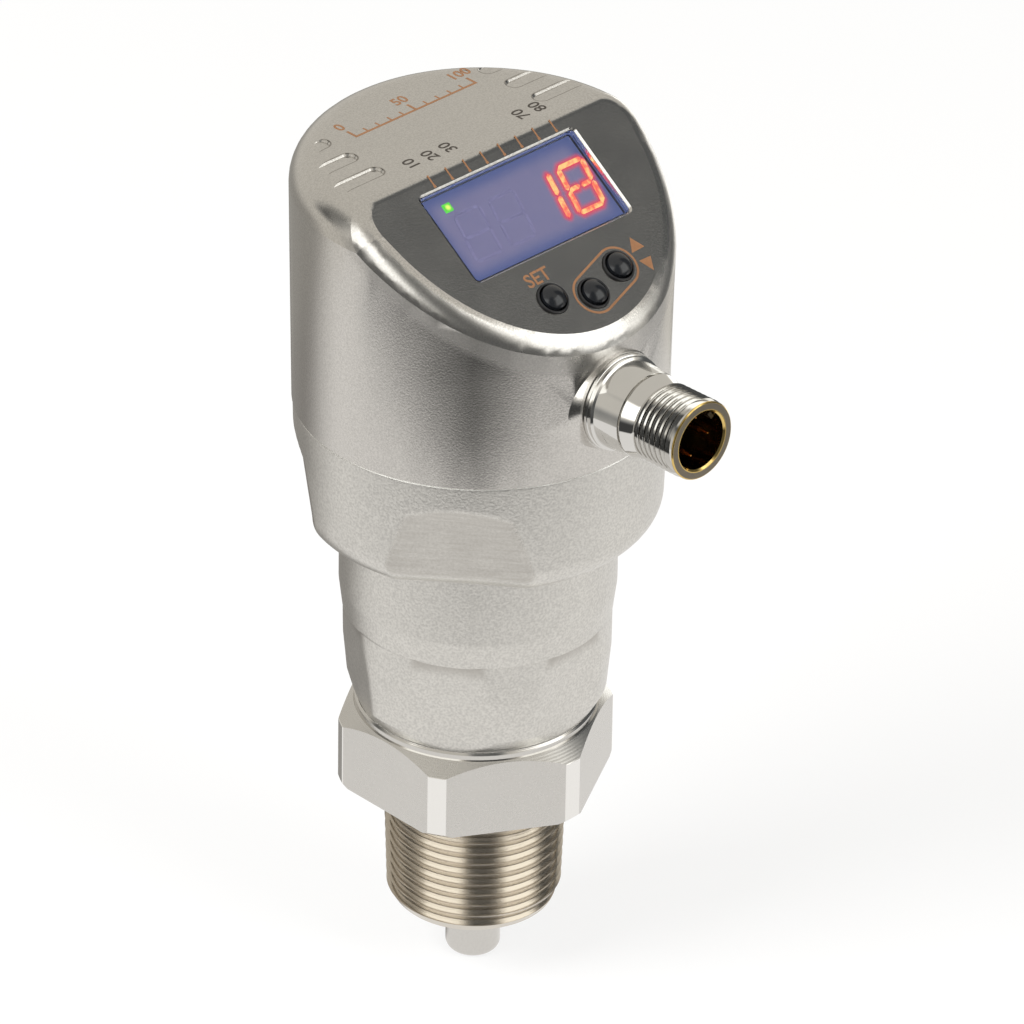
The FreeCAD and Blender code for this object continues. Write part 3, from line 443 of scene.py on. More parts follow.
def litFinish(name, core, edge, centre=None):
    # A lit bar or lamp, brighter in patches or round its centre.
    finish = Finish(name)
    if centre is None:
        inside = finish.smooth(finish.noise(0.9, 2.0), 0.35, 0.62)
    else:
        inside = finish.ramp(finish.length(finish.offset(centre)), lit["greenReach"], 0.2)
    colour = finish.blend(inside, tinted(edge), tinted(core))
    return finish.shade({"Base Color": (0.02, 0.01, 0.01, 1), "Roughness": 0.4, "Emission Color": colour,
                         "Emission Strength": lit["strength"]})


inks = {"copper": (0.34, 0.17, 0.085), "dark": (0.060, 0.050, 0.042), "ghost": (0.122, 0.117, 0.20)}


def inkFinish(name, colour, glow=0.0):
    # Printed or etched ink, slightly uneven.
    finish = Finish(name)
    cover = finish.noise(0.35, 3.0)
    tone = finish.uneven(cover, colour, 0.78, 1.2)
    sockets = {"Base Color": tone, "Roughness": 0.38 + cover * 0.2, "Metallic": 0.35,
               "Normal": finish.bump(cover, 0.004)}
    if glow:
        sockets.update({"Emission Color": tone, "Emission Strength": glow, "Metallic": 0.0})
    return finish.shade(sockets)


def middle(node):
    low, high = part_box(node)
    return (low + high) / 2


finishes = {
    "drawnSteel": cupFinish(cup), "turnedSteel": turnedFinish(turned), "goldPlate": sleeveFinish(),
    "circuitBoard": boardFinish(), "windowGlass": windowFinish(), "displayFilter": panelFinish(),
    "litRed": litFinish("litRed", lit["core"], lit["edge"]),
    "litGreen": litFinish("litGreen", lit["greenCore"], lit["green"], middle("status_led")),
    "copperInk": inkFinish("copperInk", inks["copper"]), "darkInk": inkFinish("darkInk", inks["dark"]),
    "ghostBars": inkFinish("ghostBars", inks["ghost"], 1.0),
}
finishes.update({name: steelFinish(name) for name in steels})
finishes.update({name: mouldedFinish(name) for name in mouldings})


def camel(slot):
    first, *rest = slot.split("_")
    return first + "".join(word.capitalize() for word in rest)


for node in nodes.values():
    for slot in node.material_slots:
        slot.material = finishes[camel(slot.material.name)]
nodes["display_frame"].material_slots[0].material = surroundFinish()
print("finishes:", len(finishes))


def newPiece(name, mesh, finish, body, slot=None, stands=()):
    # Shows a mesh on a body, in place of the CAD nodes in stands.
    piece = placed(name, mesh)
    if not mesh.materials:
        mesh.materials.append(finishes[finish])
    mesh.materials[0] = finishes[finish]
    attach(piece, body)
    if stands:
        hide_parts(*stands)


def closed(work, mesh):
    # Writes a finished bmesh into the mesh.
    work.to_mesh(mesh)
    work.free()
    return mesh


def outwards(mesh):
    # Merges doubles and turns a closed mesh's faces outwards.
    work = bmesh.new()
    work.from_mesh(mesh)
    bmesh.ops.remove_doubles(work, verts=work.verts, dist=0.0005 * mm)
    bmesh.ops.recalc_face_normals(work, faces=work.faces)
    return closed(work, mesh)


def softShading(mesh, angle):
    mesh.shade_smooth()
    mesh.set_sharp_from_angle(angle=math.radians(angle))


def copyOf(node, name):
    # A CAD node's mesh with its doubles merged, ready to be changed.
    mesh = nodes[node].data.copy()
    mesh.name = name
    if mesh.has_custom_normals:
        holder = placed("holder", mesh)
        with bpy.context.temp_override(object=holder, active_object=holder, selected_objects=[holder]):
            bpy.ops.mesh.customdata_custom_splitnormals_clear()
        bpy.data.objects.remove(holder)
    return outwards(mesh)


def geometryTree(name, inputs):
    # An empty Geometry Nodes tree with named inputs by kind. Gives its graph and one wire for each.
    tree = bpy.data.node_groups.new(name, "GeometryNodeTree")
    tree.interface.new_socket("Geometry", in_out="INPUT", socket_type="NodeSocketGeometry")
    for kind, labels in inputs.items():
        for label in labels:
            tree.interface.new_socket(label, in_out="INPUT", socket_type="NodeSocket" + kind)
    tree.interface.new_socket("Geometry", in_out="OUTPUT", socket_type="NodeSocketGeometry")
    graph = Graph(tree)
    source = tree.nodes.new("NodeGroupInput")
    wires = {socket.name: Wire(graph, socket) for socket in source.outputs if socket.name}
    return graph, wires


def endTree(graph, geometry, material):
    # Realize Instances and Set Material close every tree.
    solid = graph.node("GeometryNodeRealizeInstances", None, {0: geometry})
    dressed = graph.node("GeometryNodeSetMaterial", None, {"Geometry": solid, "Material": material})
    graph.fill(graph.tree.nodes.new("NodeGroupOutput"), {"Geometry": dressed})


def grown(tree, values, base=None):
    # Runs a tree once, or once for each dictionary of values, and gives the plain mesh.
    mesh = base or bpy.data.meshes.new("seed")
    holder = placed("holder", mesh)
    for settings in values if isinstance(values, list) else [values]:
        modifier = holder.modifiers.new(tree.name, "NODES")
        modifier.node_group = tree
        for item in tree.interface.items_tree:
            if item.item_type == "SOCKET" and item.in_out == "INPUT" and item.name in settings:
                modifier[item.identifier] = settings[item.name]
    bpy.context.view_layer.update()
    evaluated = holder.evaluated_get(bpy.context.evaluated_depsgraph_get())
    made = bpy.data.meshes.new_from_object(evaluated)
    holder.modifiers.clear()
    bpy.data.objects.remove(holder)
    return made


def softened(points, step):
    # A closed outline of (radius, height, rounding) with its corners rounded, no run longer than step.
    corners = []
    for index, (r, z, rounding) in enumerate(points):
        here = Vector((r, z))
        back = Vector(points[index - 1][:2]) - here
        on = Vector(points[(index + 1) % len(points)][:2]) - here
        if rounding == 0:
            corners.append(here)
            continue
        half = back.angle(on) / 2
        cut = min(rounding / math.tan(half), 0.48 * back.length, 0.48 * on.length)
        start, end = here + back.normalized() * cut, here + on.normalized() * cut
        for share in range(7):
            t = share / 6
            corners.append(start * (1 - t) ** 2 + here * 2 * t * (1 - t) + end * t * t)
    outline = []
    for index, here in enumerate(corners):
        following = corners[(index + 1) % len(corners)]
        pieces = max(1, math.ceil((following - here).length / step))
        outline += [here.lerp(following, part / pieces) for part in range(pieces)]
    return outline


def lathe(outline, segments):
    # Closed body of revolution about Z from a closed outline in millimetres.
    vertices = []
    for turn in range(segments):
        angle = 2 * math.pi * turn / segments
        vertices += [(r * mm * math.sin(angle), -r * mm * math.cos(angle), z * mm) for r, z in outline]
    count = len(outline)
    faces = []
    for turn in range(segments):
        following = (turn + 1) % segments
        for index in range(count):
            beside = (index + 1) % count
            faces.append((turn * count + index, following * count + index,
                          following * count + beside, turn * count + beside))
    mesh = bpy.data.meshes.new("lathe")
    mesh.from_pydata(vertices, [], faces)
    return outwards(mesh)


# Lower housing: cast neck and collar with softened flats.
lowerHousing = {
    "boreRadius": 14.05, "ledgeFloor": 42.5, "floorBore": 17.9, "floorTop": 46.2, "seatBore": 21.2,
    "seatFloor": 49.5, "carrierBore": 23.4, "stepHeight": 53.0, "rimRadius": 25.6, "seamHeight": 62.6,
    "rimTop": 66.6, "grooveRadius": 24.1, "grooveLow": 63.75, "grooveHigh": 65.45,
    "footRadius": 17.5, "footHeight": 13.4, "neckLow": 18.75, "neckLowHeight": 15.6, "neckRadius": 19.9,
    "waist": 19.3, "waistHeight": 22.0, "waistTop": 32.5, "ledgeStep": 0.15, "ledgeHeight": 28.5,
    "collarEdge": 43.7, "collarRound": 4.5, "collarSweep": 80, "collarFoot": 22.09,
    "shellLow": 26.2, "shellTop": 26.55, "bevel": 0.35, "segments": 420, "step": 0.5,
    "flatCount": 6, "flatAngle": -57.0, "flatDistance": 18.85, "flatLean": 0.10,
    "gripAngles": (-130.0, -50.5, 81.0, 156.0), "gripDistance": 25.45, "gripCrease": 56.5,
    "gripLow": 0.15, "gripHigh": 0.6, "softness": 0.4,
    # Painted shade darkens the grip flats and the neck flats under their ledges towards the first tint below.
    "groundTint": (0.48, 0.46, 0.43), "groundPolish": 0.08, "groundDepth": 0.012, "streak": 5.0, "shade": 2.6,
    "wornTint": (0.97, 0.96, 0.94), "wornRough": 0.15,
    # Up to each height, only what lies outside the radius beside it is skin.
    "skin": ((42.4, 16.0), (46.3, 18.5), (52.9, 21.6), (62.59, 24.4)),
}


def castFinish(size):
    # The blasted casting, with its grip flats ground: smoother and streaked sideways, and darkened
    # with painted shade.
    finish = Finish("groundCast")
    colour, roughness, normal = steelSurface(finish, steels["blastedSteel"])
    x, y, z = finish.split(finish.place)
    rise = z - size["gripCrease"] * mm
    lean = rise.maths("MAXIMUM", rise, 0.0) * size["gripHigh"]
    lean = lean + rise.maths("MINIMUM", rise, 0.0) * size["gripLow"]
    ground = x * 0
    for angle in size["gripAngles"]:
        turn = math.radians(angle)
        out = finish.dot(finish.place, (math.sin(turn), -math.cos(turn), 0))
        ground = ground + finish.ramp(abs(out - lean - size["gripDistance"] * mm), 0.34, 0.02)
    ground = ground * finish.ramp(z, size["collarEdge"] + 1.2, size["collarEdge"] + 2.4)
    streaks = finish.noise(size["streak"], 4.0, finish.mapped(Scale=(1, 1, 9)))
    # Painted shade darkens each neck flat under its ledge, and the bevel at the seam is near-white and rougher.
    radius = finish.radius(finish.place)
    half = math.pi / size["flatCount"]
    off = x.maths("WRAP", finish.bearing(x, y) - math.radians(size["flatAngle"]), half, -half)
    ledge = size["ledgeHeight"]
    plane = size["flatDistance"] * mm + (z - ledge * mm) * size["flatLean"]
    flat = finish.ramp(abs(radius * x.maths("COSINE", off) - plane), 0.42, 0.05)
    under = flat * finish.ramp(z, ledge - size["shade"], ledge) * finish.ramp(z, ledge + 0.2, ledge)
    paintedShade = z.maths("MAXIMUM", ground * (0.15 + streaks * 0.9), under * 0.85)
    # The bevel at the seam is near-white and rougher.
    seam = size["seamHeight"] - size["bevel"]
    seamBand = finish.ramp(z, seam - 0.02, seam + 0.04)
    seamBand = seamBand * finish.ramp(radius, size["rimRadius"], size["rimRadius"] + 0.2)
    colour = finish.blend(seamBand, finish.blend(paintedShade, colour, tinted(size["groundTint"])), tinted(size["wornTint"]))
    roughness = roughness - ground * size["groundPolish"] + seamBand * size["wornRough"]
    return finish.metal(colour, roughness, finish.bump(streaks * ground, size["groundDepth"], normal))


finishes["groundCast"] = castFinish(lowerHousing)


def flatTree():
    # Presses one flat, or a ring of equal flats, into the skin of a body of revolution. Below Hold the
    # flat follows the body's rounding, set in by as much as it is at the wall.
    graph, given = geometryTree("grip flats", {
        "Float": ("Angle", "Pitch", "Distance", "Level", "Lean Below", "Lean Above", "Low", "High", "Edge",
                  "Softness", "Wall", "Hold", "Inner Radius", "Inner Band"), "Material": ("Finish",)})
    position = graph.node("GeometryNodeInputPosition")
    x, y, z = graph.split(position)
    radius = graph.radius(position)
    half = given["Pitch"] / 2
    off = radius.maths("WRAP", graph.bearing(x, y) - given["Angle"], half, half * -1)
    facing = radius.maths("MAXIMUM", radius.maths("COSINE", off), 0.05)
    rise = radius.maths("MAXIMUM", z, given["Hold"]) - given["Level"]
    above = radius.maths("MAXIMUM", rise, 0.0)
    below = radius.maths("MINIMUM", rise, 0.0)
    plane = given["Distance"] + below * given["Lean Below"] + above * given["Lean Above"]
    wall = radius.maths("MAXIMUM", radius, given["Wall"])
    depth = wall - radius.maths("SMOOTH_MIN", wall, plane / facing, given["Softness"])
    reach = graph.smooth(z, given["Low"] - given["Edge"], given["Low"] + given["Edge"])
    reach = reach * graph.smooth(z, given["High"] + given["Edge"], given["High"] - given["Edge"])
    near = graph.node("ShaderNodeMapRange", None, {"Value": radius, "From Min": given["Inner Radius"],
                                                   "From Max": given["Inner Radius"] + given["Inner Band"]})
    skin = graph.node("GeometryNodeInputNamedAttribute", {"data_type": "FLOAT"}, {"Name": "skin"})
    scale = 1 - depth / radius * (reach * near * skin)
    spread = graph.node("ShaderNodeCombineXYZ", None, {0: scale, 1: scale, 2: 1.0})
    moved = graph.node("GeometryNodeSetPosition", None,
                       {"Geometry": given["Geometry"], "Position": graph.vector("MULTIPLY", position, spread)})
    endTree(graph, moved, given["Finish"])
    return graph.tree


def buildLowerHousing(size):
    centre = (size["shellLow"] - size["collarRound"], size["collarEdge"] + size["collarRound"])
    rounded = [(centre[0] + size["collarRound"] * math.cos(math.radians(turn)),
                centre[1] - size["collarRound"] * math.sin(math.radians(turn)), 0)
               for turn in range(size["collarSweep"], -1, -5)]
    # Radius, height and rounding of each corner: up the outside, over the rim and down the bore.
    corners = [
        ("footRadius", "footHeight", 0.2), ("neckLow", "neckLowHeight", 0.25), ("waist", "waistHeight", 3.0),
        ("waist", size["ledgeHeight"] - size["ledgeStep"], 0),
        (size["waist"] + 0.8 * size["ledgeStep"], "ledgeHeight", 0), ("neckRadius", "waistTop", 3.0),
        ("neckRadius", "collarEdge", 0.3), ("collarFoot", "collarEdge", 0), *rounded,
        ("shellTop", size["seamHeight"] - size["bevel"], 0.1),
        (size["shellTop"] - size["bevel"], "seamHeight", 0.05), ("rimRadius", "seamHeight", 0),
        ("rimRadius", "grooveLow", 0), ("grooveRadius", "grooveLow", 0), ("grooveRadius", "grooveHigh", 0),
        ("rimRadius", "grooveHigh", 0), ("rimRadius", "rimTop", 0.2), ("carrierBore", "rimTop", 0.2),
        ("carrierBore", "stepHeight", 0), ("seatBore", "stepHeight", 0.2), ("seatBore", "seatFloor", 0),
        ("floorBore", "floorTop", 0), ("floorBore", "ledgeFloor", 0), ("boreRadius", "ledgeFloor", 0.2),
        ("boreRadius", "footHeight", 0.2)]
    outline = softened([[size.get(value, value) for value in corner] for corner in corners], size["step"])
    blank = lathe(outline, size["segments"])
    skin = blank.attributes.new("skin", "FLOAT", "POINT")
    for vertex, cell in zip(blank.vertices, skin.data):
        radius = math.hypot(vertex.co.x, vertex.co.y) / mm
        inner = [least for top, least in size["skin"] if vertex.co.z / mm < top]
        cell.value = float(bool(inner) and radius > inner[0])
    common = {"Softness": size["softness"] * mm, "Finish": finishes["groundCast"]}
    flats = [dict(common, **{
        "Angle": math.radians(size["flatAngle"]), "Pitch": math.tau / size["flatCount"],
        "Distance": size["flatDistance"] * mm, "Level": size["ledgeHeight"] * mm, "Lean Below": size["flatLean"],
        "Low": (size["footHeight"] - 2) * mm, "High": (size["ledgeHeight"] - size["ledgeStep"] / 2) * mm,
        "Edge": size["ledgeStep"] / 4 * mm, "Inner Band": 0.1 * mm})]
    for angle in size["gripAngles"]:
        flats.append(dict(common, **{
            "Angle": math.radians(angle), "Pitch": math.tau, "Distance": size["gripDistance"] * mm,
            "Level": size["gripCrease"] * mm, "Lean Below": size["gripLow"], "Lean Above": size["gripHigh"],
            "Low": (size["collarEdge"] - 1) * mm, "High": (size["seamHeight"] - size["bevel"]) * mm,
            "Edge": 0.3 * mm, "Wall": size["shellLow"] * mm, "Hold": centre[1] * mm,
            "Inner Radius": size["neckRadius"] * mm,
            "Inner Band": (size["collarFoot"] - size["neckRadius"]) * mm}))
    mesh = grown(flatTree(), flats, blank)
    softShading(mesh, 38)
    newPiece("lower_housing_cast", mesh, "groundCast", "housing", "blasted_steel", ["lower_housing"])


buildLowerHousing(lowerHousing)
print("lower housing")


def threadTree():
    # A ridge of trapezoid section wound up Z, fading out at both ends.
    graph, given = geometryTree("thread ridge", {
        "Float": ("Pitch", "Turns", "Root Radius", "Taper", "Depth", "Crest", "Base", "Fade"),
        "Int": ("Steps",), "Material": ("Finish",)})
    height = given["Pitch"] * given["Turns"]
    helix = graph.node("GeometryNodeCurveSpiral", None, {
        "Resolution": given["Steps"], "Rotations": given["Turns"], "Start Radius": given["Root Radius"],
        "End Radius": given["Root Radius"] + height * given["Taper"], "Height": height})
    upright = graph.node("GeometryNodeSetCurveNormal", {"mode": "Z_UP"}, {"Curve": helix})
    along = graph.node("GeometryNodeSplineParameter", out="Factor")
    ends = along.maths("MINIMUM", along, 1 - along) * given["Turns"] / given["Fade"]
    size = graph.smooth(ends, -0.02, 1.0)
    faded = graph.node("GeometryNodeSetCurveRadius", None, {"Curve": upright, "Radius": size})
    section = graph.node("GeometryNodeCurvePrimitiveQuadrilateral", {"mode": "TRAPEZOID"}, {
        "Bottom Width": given["Base"], "Top Width": given["Crest"], "Offset": 0.0, "Height": given["Depth"]})
    raised = graph.node("ShaderNodeCombineXYZ", None, {1: given["Depth"] / 2 - 0.02 * mm})
    section = graph.node("GeometryNodeTransform", None, {"Geometry": section, "Translation": raised})
    ridge = graph.node("GeometryNodeCurveToMesh", None, {
        "Curve": faded, "Profile Curve": section, "Fill Caps": True, "Scale": size})
    endTree(graph, ridge, given["Finish"])
    return graph.tree


ridgeTree = threadTree()

plugThread = {"pitch": 1.0, "turns": 7.35, "crestRadius": 6.0, "depth": 0.60, "crest": 0.14, "taper": 0.0,
              "lift": 0.15, "reach": 0.05, "steps": 110, "fade": 0.3, "body": "housing", "slot": "nickel_plate"}


def buildRidge(name, size, place):
    finish = camel(size["slot"])
    mesh = grown(ridgeTree, {
        "Pitch": size["pitch"] * mm, "Turns": size["turns"],
        "Root Radius": (size["crestRadius"] - size["depth"]) * mm,
        "Taper": size["taper"], "Depth": (size["depth"] + 0.02) * mm, "Crest": size["crest"] * mm,
        "Base": size["pitch"] * 0.985 * mm, "Steps": size["steps"], "Fade": size["fade"],
        "Finish": finishes[finish]})
    outwards(mesh)
    softShading(mesh, 28)
    mesh.transform(place)
    newPiece(name, mesh, finish, size["body"], size["slot"])


def buildCore(node, size, place, foot, low, high):
    # The CAD body with its ring-shaped teeth, between low and high, drawn in to the thread's core.
    mesh = copyOf(node, node + "_core")
    inverse = place.inverted()
    for vertex in mesh.vertices:
        local = inverse @ vertex.co
        radius = math.hypot(local.x, local.y)
        crest = size["crestRadius"] * mm + (local.z - foot) * size["taper"]
        if low < local.z < high and radius > crest - size["reach"] * mm:
            factor = (crest - size["depth"] * mm) / radius
            vertex.co = place @ Vector((local.x * factor, local.y * factor, local.z))
    softShading(mesh, 24)
    newPiece(node + "_core", mesh, camel(size["slot"]), size["body"], size["slot"], [node])


half = plugLength / 2 * mm
buildRidge("taper_thread", taperThread, Matrix.Translation((0, 0, threadEnd + taperThread["lift"] * mm)))
buildCore("process_connection", taperThread, Matrix(), threadEnd, -math.inf, -taperThread["relief"] * mm)
buildCore("connector_shell", plugThread, onPlug, 0.0, -half - 0.01 * mm, half + 0.01 * mm)
buildRidge("plug_thread", plugThread, onPlug @ Matrix.Translation((0, 0, plugThread["lift"] * mm - half)))
print("threads")


def panelTree():
    # A fine slab that stores how near each point is to a lit bar.
    graph, given = geometryTree("display panel", {
        "Vector": ("Size",), "Int": ("Across", "Up"), "Object": ("Bars",), "Float": ("Reach",),
        "Material": ("Finish",)})
    slab = graph.node("GeometryNodeMeshCube", None, {
        "Size": given["Size"], "Vertices X": given["Across"], "Vertices Y": given["Up"], "Vertices Z": 2})
    bars = graph.node("GeometryNodeObjectInfo", {"transform_space": "ORIGINAL"}, {"Object": given["Bars"]},
                      "Geometry")
    gap = graph.node("GeometryNodeProximity", {"target_element": "FACES"}, {0: bars}, "Distance")
    glow = graph.smooth(gap, given["Reach"], 0.0)
    stored = graph.node("GeometryNodeStoreNamedAttribute", {"data_type": "FLOAT", "domain": "POINT"},
                        {"Geometry": slab, "Name": "halo", "Value": glow * glow * 0.9})
    endTree(graph, stored, given["Finish"])
    return graph.tree


def buildPanel(size):
    depth = [level - faceLevel for level in span("display_module", faceNormal)]
    toFace = onFace.inverted()
    flatBars = nodes["display_digits"].data.copy()
    centre = Matrix.Translation((0, 0, (depth[0] + depth[1]) / 2))
    flatBars.transform(centre.inverted() @ toFace)
    bars = placed("bars", flatBars)
    mesh = grown(panelTree(), {
        "Size": (size["width"] * mm, size["height"] * mm, depth[1] - depth[0]), "Across": size["across"],
        "Up": size["up"], "Bars": bars, "Reach": size["glowReach"] * mm, "Finish": finishes["displayFilter"]})
    bpy.data.objects.remove(bars)
    mesh.transform(onFace @ centre)
    newPiece("display_panel", mesh, "displayFilter", "housing", "display_filter", ["display_module"])


buildPanel(panel)

# The two unlit digits left of the reading.
ghosts = {"width": 5.2, "height": 7.9, "stroke": 0.5, "pitch": 6.6, "slant": 9.5, "gap": 0.3,
          "rightCentre": -2.1, "centreUp": -0.44, "count": 2, "thickness": 0.02}


def prism(outline, low, high):
    # A flat closed plate from an outline of (x, y) in millimetres.
    work = bmesh.new()
    floor = [work.verts.new((x * mm, y * mm, low * mm)) for x, y in outline]
    roof = [work.verts.new((x * mm, y * mm, high * mm)) for x, y in outline]
    work.faces.new(floor[::-1])
    work.faces.new(roof)
    for index in range(len(outline)):
        beside = (index + 1) % len(outline)
        work.faces.new((floor[index], floor[beside], roof[beside], roof[index]))
    return closed(work, bpy.data.meshes.new("prism"))


def joined(meshes):
    work = bmesh.new()
    for mesh in meshes:
        work.from_mesh(mesh)
    return closed(work, bpy.data.meshes.new("joined"))


def barOutlines(size):
    # The seven bars of a digit about its centre.
    across = size["width"] - size["stroke"]
    rise = (size["height"] - size["stroke"]) / 2
    thick = size["stroke"] / 2
    lean = math.tan(math.radians(size["slant"]))
    bars = [(0, rise, across, 0), (0, 0, across, 0), (0, -rise, across, 0)]
    bars += [(side * across / 2, half * rise / 2, rise, 1) for side in (-1, 1) for half in (-1, 1)]
    for x0, y0, length, upright in bars:
        half = (length - size["gap"]) / 2
        shape = [(-half, 0), (-half + thick, thick), (half - thick, thick), (half, 0),
                 (half - thick, -thick), (-half + thick, -thick)]
        if upright:
            shape = [(y, -x) for x, y in shape]
        yield [(x0 + x + (y0 + y) * lean, y0 + y) for x, y in shape][::-1]


def rowTree():
    # Copies of an object at equal steps along X.
    graph, given = geometryTree("row", {
        "Object": ("Object",), "Int": ("Count",), "Vector": ("Start", "Step"), "Material": ("Finish",)})
    line = graph.node("GeometryNodeMeshLine", {"mode": "OFFSET"}, {
        "Count": given["Count"], "Start Location": given["Start"], "Offset": given["Step"]})
    part = graph.node("GeometryNodeObjectInfo", {"transform_space": "ORIGINAL"}, {"Object": given["Object"]},
                      "Geometry")
    copies = graph.node("GeometryNodeInstanceOnPoints", None, {"Points": line, "Instance": part})
    endTree(graph, copies, given["Finish"])
    return graph.tree


rows = rowTree()


def row(mesh, count, start, step, finish):
    part = placed("part", mesh)
    made = grown(rows, {"Object": part, "Count": count, "Start": tuple(value * mm for value in start),
                        "Step": tuple(value * mm for value in step), "Finish": finishes[finish]})
    bpy.data.objects.remove(part)
    return made


panelFront = (span("display_module", faceNormal)[1] - faceLevel) / mm
ghost = joined([prism(outline, panelFront, panelFront + ghosts["thickness"]) for outline in barOutlines(ghosts)])
ghostRow = row(ghost, ghosts["count"], (ghosts["rightCentre"], ghosts["centreUp"], 0),
               (-ghosts["pitch"], 0, 0), "ghostBars")
outwards(ghostRow).transform(onFace)
newPiece("unlit_bars", ghostRow, "ghostBars", "housing")
print("display")


marks = {
    "thickness": 0.014, "line": 0.34,
    "ticks": 8, "tickFirst": -11.35, "tickPitch": 3.35, "tickLow": 8.05, "tickHigh": 9.75, "tickWidth": 0.26,
    "dotWidth": 0.44, "dotHeight": 0.4,
    "label": "SET", "labelAt": (-5.9, -10.35), "labelSize": 2.9, "labelTurn": 1.5, "bold": 0.13,
    "upTriangle": ((11.65, -10.7), (10.4, -12.9), (12.9, -12.8)),
    "downTriangle": ((10.6, -14.35), (11.8, -16.5), (12.8, -14.4)),
    "loopRadius": 3.05,
    "numbers": (("10", -10.6, 3.4), ("20", -7.1, 3.4), ("30", -3.7, 3.4), ("70", 10.4, 3.4), ("80", 13.6, 3.4)),
    "numberSize": 2.7, "numberBold": 0.09,
    "scaleLow": -11.0, "scaleHigh": 12.0, "scaleAt": 14.4, "scaleMinor": 0.9, "scaleMajor": 1.7, "scaleSize": 2.6,
    "minorWidth": 0.28, "majorWidth": 0.4, "textRise": 3.2, "apart": 0.001,
}


def writing(text, size, place, turn, thickness, bold=0.0):
    # Text as a closed plate, centred on place and turned, in millimetres on a plane.
    curve = bpy.data.curves.new(text, "FONT")
    curve.body = text
    curve.size = size
    curve.align_x = "CENTER"
    curve.align_y = "CENTER"
    curve.extrude = thickness / 2
    curve.offset = bold / size
    curve.resolution_u = 4
    holder = placed("writing", curve)
    bpy.context.view_layer.update()
    mesh = bpy.data.meshes.new_from_object(holder.evaluated_get(bpy.context.evaluated_depsgraph_get()))
    bpy.data.objects.remove(holder)
    move = Matrix.Translation((place[0] * mm, place[1] * mm, thickness / 2 * mm))
    mesh.transform(move @ Matrix.Rotation(math.radians(turn), 4, "Z") @ Matrix.Scale(mm, 4))
    return outwards(mesh)


def loop(first, second, radius, line, thickness):
    # Outline of constant width round two points.
    start, end = Vector(first), Vector(second)
    bearing = math.atan2(end.y - start.y, end.x - start.x)
    steps = 24
    path = [(end, bearing - math.pi / 2 + math.pi * part / steps) for part in range(steps + 1)]
    path += [(start, bearing + math.pi / 2 + math.pi * part / steps) for part in range(steps + 1)]
    work = bmesh.new()
    rings = []
    for level in (0, thickness):
        for reach in (radius - line / 2, radius + line / 2):
            rings.append([work.verts.new(((at.x + reach * math.cos(angle)) * mm,
                                          (at.y + reach * math.sin(angle)) * mm, level * mm))
                          for at, angle in path])
    for near, far in ((0, 1), (1, 3), (3, 2), (2, 0)):
        for index in range(len(path)):
            beside = (index + 1) % len(path)
            work.faces.new((rings[near][index], rings[near][beside], rings[far][beside], rings[far][index]))
    bmesh.ops.recalc_face_normals(work, faces=work.faces)
    return closed(work, bpy.data.meshes.new("loop"))


def onFacePoint(node):
    # Where a node's middle lies on the slanted face, in millimetres.
    local = onFace.inverted() @ middle(node)
    return local.x / mm, (sum(span(node, faceUp)) / 2 - faceOrigin.dot(faceUp)) / mm


def plate(x0, x1, y0, y1, thickness):
    return prism([(x0, y0), (x1, y0), (x1, y1), (x0, y1)], 0, thickness)


def buildMarks(look):
    thick = look["thickness"]

    def strokes(width, low, high, count, first, pitch):
        stroke = plate(-width / 2, width / 2, low, high, thick)
        return row(stroke, count, (first, 0, 0), (pitch, 0, 0), "copperInk")

    ticked = (look["ticks"], look["tickFirst"], look["tickPitch"])
    dotTop = look["tickLow"] - look["apart"]
    face = joined([
        strokes(look["tickWidth"], look["tickLow"], look["tickHigh"], *ticked),
        strokes(look["dotWidth"], look["tickLow"] - look["dotHeight"], dotTop, *ticked),
        loop(onFacePoint("button_down"), onFacePoint("button_up"), look["loopRadius"], look["line"], thick),
        prism(look["upTriangle"], 0, thick), prism(look["downTriangle"], 0, thick),
        writing(look["label"], look["labelSize"], look["labelAt"], look["labelTurn"], thick, look["bold"])])
    face.transform(onFace)
    newPiece("face_marks", outwards(face), "copperInk", "housing")
    dark = joined([writing(text, look["numberSize"], (x, y), 90, thick, look["numberBold"])
                   for text, x, y in look["numbers"]])
    dark.transform(onCap)
    newPiece("indicator_numbers", dark, "darkInk", "housing")
    low, high = look["scaleLow"], look["scaleHigh"]
    pitch = (high - low) / 10
    at = look["scaleAt"]
    minor = [strokes(look["minorWidth"], at, at + look["scaleMinor"], 4, first, pitch)
             for first in (low + pitch, low + pitch * 6)]
    major = strokes(look["majorWidth"], at, at + look["scaleMajor"], 3, low, pitch * 5)
    end = look["majorWidth"] / 2
    line = plate(low - end, high + end, at - look["majorWidth"], at - look["apart"], thick)
    numbers = [writing(text, look["scaleSize"], (low + (high - low) * share, at + look["textRise"]), 0, thick,
                       look["bold"]) for text, share in (("0", 0.0), ("50", 0.5), ("100", 1.0))]
    scale = joined(minor + [major, line] + numbers)
    scale.transform(onCap)
    newPiece("level_scale", outwards(scale), "copperInk", "housing")


buildMarks(marks)
print("marks")


